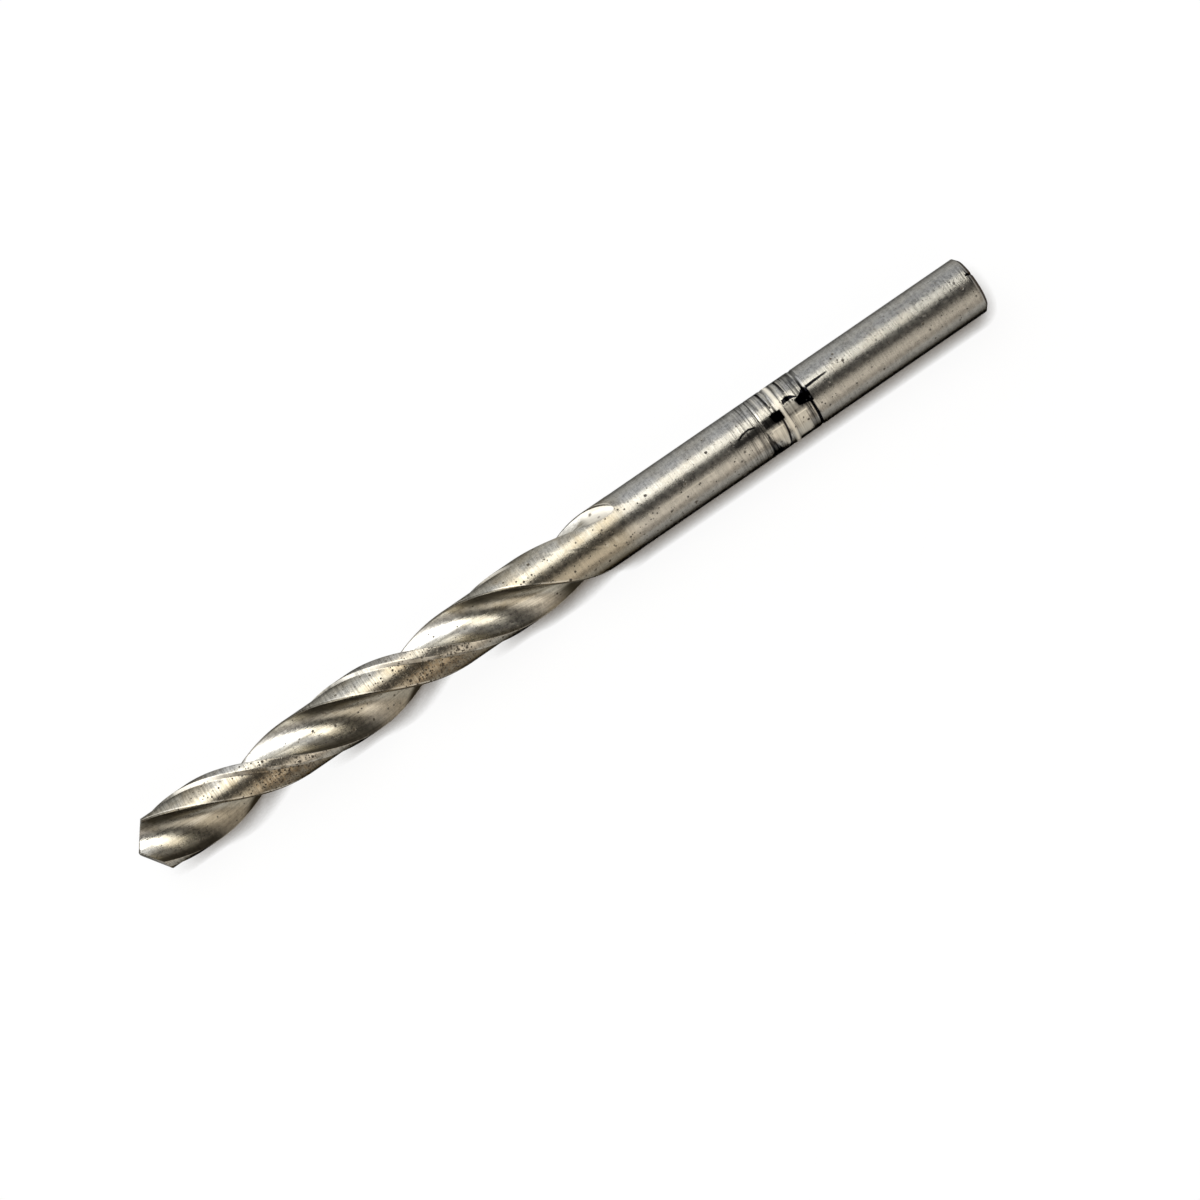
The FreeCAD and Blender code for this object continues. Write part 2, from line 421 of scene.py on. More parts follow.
@dataclass(frozen=True)
class PointGrind:
    """The drill's point: two flanks, each a piece of a cone, that meet at the chisel edge."""

    sizes: DrillSizes = DrillSizes()
    search_depth: float = 0.4
    search_steps: int = 4001

    def cone(self, turn: float, station: float) -> tuple[np.ndarray, np.ndarray]:
        """Tip and axis direction of one flank's cone, for a lip at an angle about the drill's axis."""
        z = self.sizes
        half_point = math.radians(z.half_point_deg)
        relief = math.radians(z.lip_relief_deg)
        half_cone = math.radians(z.flank_cone_deg)
        p = np.array([0.0, math.cos(turn), math.sin(turn)])
        q = np.array([0.0, math.sin(turn), -math.cos(turn)])
        along = np.array([1.0, 0.0, 0.0])
        lip = p * math.sin(half_point) + along * math.cos(half_point)
        fall = -q * math.cos(relief) + along * math.sin(relief)
        outward = np.cross(lip, fall)
        outward /= np.linalg.norm(outward) * (1 if outward[0] < 0 else -1)
        axis = lip * math.cos(half_cone) - outward * math.sin(half_cone)
        start = np.array([station - z.overall_length, 0.0, 0.0])
        return start + q * z.half_web - lip * z.flank_cone_reach, axis

    @property
    def lip_station(self) -> float:
        """Station of the plane where the lips would pass the axis, so that the point is at station 0."""
        depths = np.linspace(0.0, self.search_depth, self.search_steps)
        axis_points = np.stack([depths - self.sizes.overall_length, 0 * depths, 0 * depths], -1)
        inside = self.inside(axis_points, 0.0, 0.0)
        return -float(np.interp(0.0, inside, depths))

    def inside(self, places: np.ndarray, turn: float, station: float) -> np.ndarray:
        """How far inside one flank's cone places are: below zero they are ground away."""
        tip, axis = self.cone(turn, station)
        away = places - tip
        cosine = math.cos(math.radians(self.sizes.flank_cone_deg))
        return away @ axis - cosine * np.linalg.norm(away, axis=-1)

    def left_by_both(self, places: np.ndarray) -> np.ndarray:
        """How far inside both flanks' cones places are."""
        turn = math.radians(self.sizes.roll_deg)
        station = self.lip_station
        one, other = (self.inside(places, turn + half_turn, station) for half_turn in (0.0, math.pi))
        return np.minimum(one, other)


def first_inside(stations: np.ndarray, inside: np.ndarray) -> np.ndarray:
    """The station where each line comes into the metal for the last time.

    Args:
        stations: Stations in rising order.
        inside: For each station and line, how far inside the metal it is.

    Returns:
        One station for each line.
    """
    outside = inside < 0
    last = len(stations) - 1 - np.argmax(outside[::-1], axis=0)
    last = np.where(outside.any(axis=0), last, 0)
    last = np.minimum(last, len(stations) - 2)
    lines = np.arange(inside.shape[1])
    low, high = inside[last, lines], inside[last + 1, lines]
    share = np.clip(-low / np.where(high - low == 0, 1, high - low), 0, 1)
    return stations[last] + share * (stations[last + 1] - stations[last])


@dataclass(frozen=True)
class ScoredRing:
    """A ring that a slipping chuck has scored round the shank."""

    from_end: float
    width: float
    depth: float


@dataclass(frozen=True)
class Dent:
    """A short dent in the shank, with its place round it as an angle from Y toward Z."""

    from_end: float
    width: float
    depth: float
    angle_deg: float


@dataclass(frozen=True)
class ShankWear:
    """What a slipping chuck and hard use have left on the shank."""

    rings: tuple[ScoredRing, ...] = (
        ScoredRing(17.45, 0.46, 0.060),
        ScoredRing(20.45, 0.40, 0.035),
        ScoredRing(22.15, 0.26, 0.020),
    )
    dents: tuple[Dent, ...] = (
        Dent(17.95, 1.10, 0.055, 93.0),
        Dent(18.90, 1.00, 0.045, 78.0),
        Dent(20.80, 1.10, 0.045, 93.0),
    )
    dent_reach: float = 0.375

    def depth(self, from_end: np.ndarray, angle: np.ndarray, radius: float) -> np.ndarray:
        """How deep the wear is at places on the shank.

        Args:
            from_end: Distance from the shank's end.
            angle: Angle round the shank from Y toward Z, in radians.
            radius: The shank's radius.

        Returns:
            Depth in millimetres.
        """
        deep = np.zeros_like(angle)
        for ring in self.rings:
            share = 1 - np.abs(from_end - ring.from_end) / (ring.width / 2)
            deep = np.maximum(deep, ring.depth * np.clip(share, 0, 1))
        for dent in self.dents:
            round_it = angle - math.radians(dent.angle_deg)
            round_it = (round_it + math.pi) % (2 * math.pi) - math.pi
            away = np.hypot(from_end - dent.from_end, round_it * radius) / (dent.width * self.dent_reach)
            deep = np.maximum(deep, dent.depth * np.clip(1 - away**2, 0, 1))
        return deep


class Attribute(Enum):
    """Values that the mesh carries for its finish."""

    FLUTE = "flute_share"
    # Besides wear, the edge values carry a painted highlight on the heel and the step, and painted shade
    # beside the heel.
    EDGE = "worn_edge"
    MARGIN = "margin_share"
    BLACK = "black_smear"
    # The bright marks are rubs, and some are painted highlights.
    BRIGHT = "rub_and_glint"


@dataclass(frozen=True)
class Mark:
    """A mark on the shank: a patch with straight sides, by distance from the end and angle round it."""

    corners: tuple[tuple[float, float], ...]
    strength: float = 1.0
    soft: float = 0.10

    def share(self, from_end: np.ndarray, angle_deg: np.ndarray, radius: float) -> np.ndarray:
        """How much of the mark is at places on the shank.

        Args:
            from_end: Distance from the shank's end.
            angle_deg: Angle round the shank from Y toward Z.
            radius: The shank's radius.

        Returns:
            A share from 0, outside the mark, to its strength.
        """
        arc = math.radians(radius)
        x, y = from_end, angle_deg * arc
        inside = np.zeros(x.shape, dtype=bool)
        nearest = np.full(x.shape, np.inf)
        places = [(a, b * arc) for a, b in self.corners]
        for (x0, y0), (x1, y1) in zip(places, places[1:] + places[:1]):
            side_x, side_y = x1 - x0, y1 - y0
            length = max(side_x**2 + side_y**2, TINY)
            along = np.clip(((x - x0) * side_x + (y - y0) * side_y) / length, 0, 1)
            nearest = np.minimum(nearest, np.hypot(x - x0 - along * side_x, y - y0 - along * side_y))
            if side_y != 0:
                crosses = (y0 > y) != (y1 > y)
                inside ^= crosses & (x < x0 + (y - y0) * side_x / side_y)
        signed = np.where(inside, nearest, -nearest)
        return self.strength * np.clip(0.5 + signed / self.soft, 0, 1)


@dataclass(frozen=True)
class SlipMarks:
    """The black smears and bright rubs between and beside the scored rings.

    Among the bright ones are a light column round the shank, a box beside it, six thin light lines, two
    short white scratches, and patches of shine. The two short white scratches, the patches of shine and a
    long thin line along the shank are painted highlights. Among the black ones, the last is painted shade
    in the nick at the shank's end.
    """

    black: tuple[Mark, ...] = (
        Mark(((22.15, 84.6), (20.15, 84.2), (20.12, 104.4), (22.10, 104.0)), 0.55),
        Mark(((21.25, 85.2), (20.18, 85.2), (20.16, 104.0), (21.10, 104.0)), 1.0),
        Mark(
            (
                (24.70, 90.0), (24.0, 84.0), (23.3, 82.6), (22.7, 87.5), (22.75, 90.0), (23.3, 86.4),
                (24.0, 87.6), (24.5, 92.0),
            ),
            0.95,
            0.10,
        ),
        Mark(((25.2, 91.5), (22.4, 88.0), (22.4, 103.5), (25.2, 103.0)), 0.44, 0.3),
        Mark(
            (
                (19.76, 83.5), (19.62, 74.5), (19.22, 71.6), (18.72, 75.0), (18.26, 85.0),
                (18.95, 81.0), (19.40, 82.5),
            ),
            1.0,
            0.08,
        ),
        Mark(
            (
                (18.72, 87.0), (18.15, 84.6), (17.52, 73.4), (17.20, 81.0), (17.25, 106.5),
                (17.95, 103.0), (18.55, 101.0),
            ),
            1.0,
            0.08,
        ),
        Mark(
            (
                (17.3, 76.5), (16.3, 75.4), (15.05, 75.8), (15.1, 78.8), (16.3, 80.6), (17.3, 82.0),
            ),
            1.0,
            0.12,
        ),
        Mark(((17.62, 100.0), (17.36, 100.0), (17.33, 172.0), (17.60, 172.0)), 0.92, 0.08),
        Mark(((17.60, 8.0), (17.16, 20.0), (17.16, 76.0), (17.58, 76.0)), 0.48, 0.1),
        Mark(
            (
                (20.46, 104.0), (20.32, 104.0), (20.36, 125.0), (20.62, 168.0), (20.86, 168.0),
                (20.56, 125.0),
            ),
            0.85,
            0.1,
        ),
        Mark(
            (
                (22.25, 108.0), (22.10, 108.0), (22.0, 128.0), (21.3, 168.0), (22.6, 168.0),
                (22.45, 125.0),
            ),
            0.62,
            0.16,
        ),
        Mark(((21.10, 10.0), (20.92, 10.0), (20.72, 76.0), (20.84, 76.0)), 0.8, 0.07),
        Mark(((19.22, 12.0), (19.05, 12.0), (18.90, 64.0), (19.04, 64.0)), 0.8, 0.08),
        Mark(((18.62, 15.0), (17.75, 15.0), (17.70, 52.0), (18.50, 56.0)), 0.38, 0.2),
        Mark(((18.22, 112.0), (17.70, 112.0), (17.66, 168.0), (18.3, 168.0)), 0.42, 0.12),
        Mark(((19.82, 88.0), (19.70, 88.0), (19.66, 138.0), (19.76, 138.0)), 0.5, 0.08),
        # Painted shade: black in the hollow of the nick at the shank's end.
        Mark(((0.64, 75.8), (-0.1, 71.0), (-0.1, 83.0), (0.64, 77.8)), 1.0, 0.10),
    )
    bright: tuple[Mark, ...] = (
        Mark(((20.22, -10.0), (19.86, -10.0), (19.80, 190.0), (20.10, 190.0)), 0.80, 0.22),
        Mark(((19.72, 87.5), (18.75, 87.5), (18.62, 103.0), (19.72, 103.0)), 0.38, 0.15),
        Mark(((19.58, 20.0), (19.50, 20.0), (19.46, 84.0), (19.54, 84.0)), 0.55, 0.09),
        Mark(((19.34, 88.0), (19.26, 88.0), (19.20, 156.0), (19.30, 156.0)), 0.50, 0.09),
        Mark(((18.98, 24.0), (18.90, 24.0), (18.86, 72.0), (18.95, 72.0)), 0.50, 0.09),
        Mark(((18.84, 92.0), (18.76, 92.0), (18.70, 162.0), (18.80, 162.0)), 0.45, 0.09),
        Mark(((20.66, 18.0), (20.58, 18.0), (20.52, 82.0), (20.60, 82.0)), 0.50, 0.09),
        Mark(((21.62, 22.0), (21.52, 22.0), (21.48, 78.0), (21.58, 78.0)), 0.35, 0.10),
        # Painted highlights: the two short white scratches, the patches of shine, and the long thin line
        # along the shank.
        Mark(((21.72, 110.4), (20.56, 110.4), (20.56, 114.0), (21.72, 114.0)), 1.0, 0.07),
        Mark(((19.35, 110.4), (18.20, 110.4), (18.20, 114.0), (19.35, 114.0)), 1.0, 0.07),
        Mark(((21.9, 116.0), (20.55, 108.0), (20.62, 160.0), (20.9, 160.0)), 0.5, 0.25),
        Mark(((19.6, 108.0), (18.3, 108.0), (18.4, 160.0), (19.6, 160.0)), 0.45, 0.3),
        Mark(((39.0, 111.2), (27.8, 111.2), (27.8, 112.6), (39.0, 112.6)), 0.45, 0.12),
    )

    def most(
        self, marks: tuple[Mark, ...], from_end: np.ndarray, angle_deg: np.ndarray, radius: float
    ) -> np.ndarray:
        """The strongest share of any of the marks at each place."""
        shares = np.zeros_like(from_end)
        for mark in marks:
            shares = np.maximum(shares, mark.share(from_end, angle_deg, radius))
        return shares


@dataclass
class TwistDrill:
    """The whole drill as one mesh."""

    sizes: DrillSizes = DrillSizes()
    section: Section = Section()
    wear: ShankWear = ShankWear()
    marks: SlipMarks = SlipMarks()
    name: str = "drill"
    tip_rings: int = 14
    tip_reach: float = 3.0
    tail_rings: int = 14
    tail_reach: float = 0.8
    # Where the point's surface is looked for, along a line and on a flank: the first station, and how many.
    line_search: tuple[float, int] = (-0.5, 141)
    flank_search: tuple[float, int] = (-0.3, 331)
    # How much thinner the mesh is than the solid, and how far from the flutes the shank's wear begins.
    inset_share: float = 0.0005
    clear_of_flutes: float = 1.0
    nick_angle_deg: float = 76.8
    nick_reach: float = 0.55
    nick_half_width: float = 0.17
    nick_depth: float = 0.3
    # The rings of the chamfered end: how far past the chamfer's foot, and how far inside the shank.
    end_rings: tuple[tuple[float, float], ...] = ((0.06, 0.02), (0.36, 0.37), (0.40, 0.408), (0.42, 0.48))
    flat_rings: tuple[float, ...] = (0.86, 0.62, 0.36, 0.12)
    # How the lines at each edge are marked for the finish: worn bright above 0, with a painted highlight on
    # the heel's edge and on the step, and painted shade below 0, a dark line beside the heel. The lines'
    # ways across a flute are read at one station, because they hardly change along it.
    lead_lines: tuple[float, float] = (0.6, 0.4)
    heel_lines: tuple[float, ...] = (-0.7, -1.1, -1.3, -1.3, -1.0, 1.0)
    step_lines: tuple[float, ...] = (0.25, 0.6, 0.9, 0.9, 0.3)
    share_station: float = 10.0
    merge_mm: float = 1e-4
    smooth_deg: float = 32.0

    def stations(self) -> np.ndarray:
        """Stations of the tube's rings behind the tip, closer together where the form changes fast."""
        z = self.sizes
        tail = z.flute_length - self.section.tail_gap
        end = z.overall_length - z.end_chamfer
        runs = (
            (self.tip_reach + 0.25, 44.0, 0.25),  # the flutes
            (44.0, tail - self.tail_reach, 0.14),  # their run-out
            (tail + 0.15, 55.0, 0.25),  # where the lines spread round the shank
            (55.0, 60.6, 0.6),  # plain shank
            (60.8, 71.0, 0.085),  # the band that the chuck has scored
            (71.4, end - 0.6, 0.8),  # plain shank
        )
        parts = [np.arange(*run) for run in runs]
        parts.append(np.linspace(0.0, self.tip_reach, self.tip_rings))
        parts.append(tail - self.tail_reach * np.linspace(1.0, 0.0, self.tail_rings) ** 2)
        parts.append(end - np.array([0.3, 0.15, 0.0]))
        for ring in self.wear.rings:
            middle = z.overall_length - ring.from_end
            parts.append(middle + ring.width / 2 * np.array([-1.0, 0.0, 1.0]))
        return np.unique(np.round(np.concatenate(parts), 4))

    def lines(self, stations: np.ndarray) -> np.ndarray:
        """Where every line of the tube is at every ring.

        Args:
            stations: The rings' stations.

        Returns:
            Places by ring, line and axis, in millimetres.
        """
        count = 2 * self.section.half_count
        first, steps = self.line_search
        fine = np.linspace(first, self.tip_reach, steps)
        near = np.stack([self.section.outline(s) for s in fine])
        spots = np.stack([self.section.turned(o, np.full(count, s)) for o, s in zip(near, fine)])
        starts = first_inside(fine, PointGrind(self.sizes).left_by_both(spots))
        rows = []
        for station in stations:
            if station >= self.tip_reach:
                rows.append(self.section.turned(self.section.outline(station), np.full(count, station)))
                continue
            at = starts + (self.tip_reach - starts) * station / self.tip_reach
            place = (at - fine[0]) / (fine[1] - fine[0])
            low = np.clip(place.astype(int), 0, len(fine) - 2)
            share = (place - low)[:, None]
            columns = np.arange(count)
            outline = near[low, columns] * (1 - share) + near[low + 1, columns] * share
            rows.append(self.section.turned(outline, at))
        return np.stack(rows)

    def scored(self, places: np.ndarray, stations: np.ndarray) -> np.ndarray:
        """The tube's places with the wear pressed into the shank."""
        z = self.sizes
        angle = np.arctan2(places[:, :, 2], places[:, :, 1])
        from_end = np.repeat(z.overall_length - stations[:, None], places.shape[1], axis=1)
        on_shank = from_end < z.overall_length - z.flute_length - self.clear_of_flutes
        deep = np.where(on_shank, self.wear.depth(from_end, angle, z.shank_radius), 0)
        scale = 1 - self.inset_share - deep / np.hypot(places[:, :, 1], places[:, :, 2])
        result = places.copy()
        result[:, :, 1:] *= scale[:, :, None]
        return result

    def tube(self) -> tuple[bpy.types.Object, np.ndarray]:
        """Turn a circle up the helix and bring its lines to their places.

        Returns:
            The tube, and the places of its first ring.
        """
        z = self.sizes
        stations = self.stations()
        count = 2 * self.section.half_count
        bpy.ops.object.select_all(action="DESELECT")
        bpy.ops.mesh.primitive_circle_add(
            vertices=count, radius=z.cutting_radius * MM, rotation=(0, math.pi / 2, 0)
        )
        tube = bpy.context.object
        bpy.ops.object.transform_apply(location=True, rotation=True, scale=True)
        screw = tube.modifiers.new("helix", "SCREW")
        screw.axis = "X"
        screw.steps = screw.render_steps = len(stations) - 1
        screw.angle = z.helix_per_mm * z.flute_length
        screw.screw_offset = z.overall_length * MM
        bpy.ops.object.modifier_apply(modifier=screw.name)
        places = self.scored(self.lines(stations), stations)
        mesh = tube.data
        log.info("tube: %d rings of %d lines, %d vertices", len(stations), count, len(mesh.vertices))
        mesh.vertices.foreach_set("co", (places * MM).ravel())
        mesh.update()
        return tube, places[0]

    def flanks(self, first_ring: np.ndarray) -> bpy.types.Object:
        """The patch over both flanks: a grid whose border is the tube's first ring."""
        half = self.section.half_count
        rows, columns = self.section.heel_line + 1, half - self.section.heel_line + 1
        bpy.ops.object.select_all(action="DESELECT")
        bpy.ops.mesh.primitive_grid_add(x_subdivisions=columns - 1, y_subdivisions=rows - 1, size=MM)
        patch = bpy.context.object
        i = np.arange(rows)[:, None]
        j = np.arange(columns)[None, :]
        u = i / (rows - 1)
        v = (j / (columns - 1))[..., None]
        u = (u + 0 * j)[..., None]
        left = first_ring[i + 0 * j]
        right = first_ring[half + self.section.heel_line - i + 0 * j]
        bottom = first_ring[(2 * half - j + 0 * i) % (2 * half)]
        top = first_ring[self.section.heel_line + j + 0 * i]
        sides = left * (1 - v) + right * v
        ends = bottom * (1 - u) + top * u
        below = bottom[0, 0] * (1 - v) + bottom[0, -1] * v
        above = top[0, 0] * (1 - v) + top[0, -1] * v
        spots = (sides + ends - below * (1 - u) - above * u).reshape(-1, 3)
        first, steps = self.flank_search
        fine = np.linspace(first, self.tip_reach, steps)
        columns_of = np.repeat(spots[None], len(fine), axis=0)
        columns_of[:, :, 0] = fine[:, None] - self.sizes.overall_length
        depth = first_inside(fine, PointGrind(self.sizes).left_by_both(columns_of))
        spots[:, 0] = depth - self.sizes.overall_length
        grid = spots.reshape(rows, columns, 3)
        grid[:, 0], grid[:, -1] = left[:, 0], right[:, -1]
        grid[0], grid[-1] = bottom[0], top[-1]
        patch.data.vertices.foreach_set("co", (grid * MM).ravel())
        patch.data.update()
        return patch

    @staticmethod
    def carry(ob: bpy.types.Object, kind: Attribute, values: np.ndarray) -> None:
        """Give a mesh one value for each vertex."""
        attribute = ob.data.attributes.new(kind.value, "FLOAT", "POINT")
        attribute.data.foreach_set("value", values.astype(np.float32).ravel())

    def line_values(self) -> dict[Attribute, np.ndarray]:
        """The tube's values for the finish, line by line on every ring, ending where the flutes do."""
        z, section = self.sizes, self.section
        across = section.half_outline(self.share_station)[1]
        worn, step, margin = (np.zeros_like(across) for _ in range(3))
        worn[0] = self.lead_lines[0]
        worn[1] = worn[-1] = self.lead_lines[1]
        first = section.heel_line - 2
        worn[first : first + len(self.heel_lines)] = self.heel_lines
        top = section.step_line
        step[top - 3 : top + 2] = self.step_lines
        margin[top + 1 :] = 1.0
        ground, stations = z.clearance_length, self.stations()
        depths = [section.bar_radius(s) - section.floor_radius(s) if s < ground else 0.0 for s in stations]
        sunk = np.array(depths)[:, None] / z.clearance_depth
        stations = stations[:, None]
        open_flute = stations < z.flute_length
        fade = np.clip((z.flute_length - stations) / z.end_chamfer, 0, 1)
        return {
            Attribute.FLUTE: np.where(open_flute, np.tile(across, 2)[None], -1.0),
            Attribute.EDGE: np.tile(worn, 2)[None] * fade + np.tile(step, 2)[None] * sunk,
            Attribute.MARGIN: np.tile(margin, 2)[None] * sunk,
        }

    def close_end(self, ob: bpy.types.Object) -> None:
        """Chamfer the shank's end and close it with its flat."""
        z = self.sizes
        bpy.ops.object.select_all(action="DESELECT")
        ob.select_set(True)
        bpy.context.view_layer.objects.active = ob
        bpy.ops.object.mode_set(mode="EDIT")
        bpy.ops.mesh.select_mode(type="VERT")
        bpy.ops.mesh.select_all(action="DESELECT")
        bpy.ops.object.mode_set(mode="OBJECT")
        limit = -(z.end_chamfer + self.section.tail_gap) * MM
        for vertex in ob.data.vertices:
            vertex.select = vertex.co.x > limit
        bpy.ops.object.mode_set(mode="EDIT")
        bpy.ops.mesh.select_mode(type="EDGE")
        steps = [(along, z.shank_radius - inside) for along, inside in self.end_rings]
        flat = z.shank_radius - z.end_chamfer
        steps += [(z.end_chamfer, share * flat) for share in self.flat_rings]
        radius, reached = z.shank_radius, 0.0
        for along, target in steps:
            bpy.ops.mesh.extrude_edges_move(TRANSFORM_OT_translate={"value": ((along - reached) * MM, 0, 0)})
            scale = target / radius
            bpy.ops.transform.resize(value=(1, scale, scale), center_override=(0, 0, 0))
            radius, reached = target, along
        bpy.ops.mesh.edge_face_add()
        bpy.ops.object.mode_set(mode="OBJECT")

    def nick_end(self, ob: bpy.types.Object) -> None:
        """Press the small nick into the rim of the shank's end, narrowing away from the end."""
        for vertex in ob.data.vertices:
            from_end = -vertex.co.x / MM
            radius = math.hypot(vertex.co.y, vertex.co.z) / MM
            if from_end > self.nick_reach or radius < self.sizes.shank_radius / 2:
                continue
            off = abs(math.degrees(math.atan2(vertex.co.z, vertex.co.y)) - self.nick_angle_deg)
            room = self.nick_half_width * (1 - from_end / self.nick_reach)
            deep = self.nick_depth * max(0.0, 1 - math.radians(off) * radius / max(room, 1e-6))
            vertex.co.y *= 1 - deep / radius
            vertex.co.z *= 1 - deep / radius

    def mark_values(self, ob: bpy.types.Object) -> dict[Attribute, np.ndarray]:
        """Each vertex's share of the black smears and the bright rubs, with painted highlights among the
        rubs and painted shade in the nick at the end.
        """
        places = np.zeros(3 * len(ob.data.vertices))
        ob.data.vertices.foreach_get("co", places)
        x, y, height = places.reshape(-1, 3).T / MM
        angle = np.degrees(np.arctan2(height, y))
        angle = np.where(angle < -90, angle + 360, angle)
        radius = self.sizes.shank_radius
        on_rim = np.hypot(y, height) > radius / 2
        black = self.marks.most(self.marks.black, -x, angle, radius) * on_rim
        bright = self.marks.most(self.marks.bright, -x, angle, radius)
        return {Attribute.BLACK: black, Attribute.BRIGHT: bright}

    def build(self) -> bpy.types.Object:
        """Make the drill and put it in the solid's place."""
        tube, first_ring = self.tube()
        for kind, values in self.line_values().items():
            self.carry(tube, kind, values)
        self.close_end(tube)
        self.nick_end(tube)
        for kind, values in self.mark_values(tube).items():
            self.carry(tube, kind, values)
        patch = self.flanks(first_ring)
        for kind, value in ((Attribute.FLUTE, -1.0), (Attribute.EDGE, 0.0), (Attribute.MARGIN, 0.0)):
            self.carry(patch, kind, np.full(len(patch.data.vertices), value))
        bpy.ops.object.select_all(action="DESELECT")
        patch.select_set(True)
        tube.select_set(True)
        bpy.context.view_layer.objects.active = tube
        bpy.ops.object.join()
        bpy.ops.object.mode_set(mode="EDIT")
        bpy.ops.mesh.select_all(action="SELECT")
        bpy.ops.mesh.remove_doubles(threshold=self.merge_mm * MM)
        bpy.ops.mesh.normals_make_consistent(inside=False)
        bpy.ops.object.mode_set(mode="OBJECT")
        bpy.ops.object.shade_smooth_by_angle(angle=math.radians(self.smooth_deg))
        tube.name = tube.data.name = self.name
        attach(tube, "root")
        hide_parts("drill_bit")
        return tube


@dataclass(frozen=True)
class Ramp:
    """A value that eases from one number to another between two places, and is level outside them."""

    start: float = 0.0
    end: float = 1.0
    before: float = 0.0
    after: float = 1.0

    @property
    def ends(self) -> dict[str, float]:
        """Its numbers, as the inputs that follow the value in a map range."""
        return {"i1": self.start, "i2": self.end, "i3": self.before, "i4": self.after}


class Reading(Enum):
    """What a patch of the finish goes by: the way across a flute, or a distance in millimetres."""

    SHARE = "from the flute's leading edge to the heel"
    STATION = "from the point"
    SIDE = "from the axis toward +Y"
    HEIGHT = "from the axis toward +Z"


SHARE, STATION, SIDE, HEIGHT = Reading

# A patch covers a place as far as all of its ramps are open there.
Patch = tuple[tuple[Reading, Ramp], ...]

# The side toward -Y, away from the window: the coats that go by it paint it darker and browner as painted
# shade, and lay more rust there.
SHADED_SIDE: tuple[Reading, Ramp] = (SIDE, Ramp(1.7, -0.8, 0.2, 1.0))


@dataclass(frozen=True)
class Coat:
    """A colour that lies over others, the most that it hides of them, and what it adds to the roughness."""

    colour: str
    most: float = 1.0
    rougher: float = 0.0


@dataclass(frozen=True)
class Pit:
    """One large rust pit, by its station, angle from Y toward Z, radius, and distance from the axis."""

    station: float
    angle_deg: float
    radius: float
    out: float = 2.72

    @property
    def edge(self) -> Ramp:
        """Its soft edge, by the distance from its middle."""
        return Ramp(1.2 * self.radius, 0.2 * self.radius)

    def middle(self, length: float) -> tuple[float, float, float]:
        """Its middle, on a drill of this length."""
        angle = math.radians(self.angle_deg)
        return self.station - length, self.out * math.cos(angle), self.out * math.sin(angle)


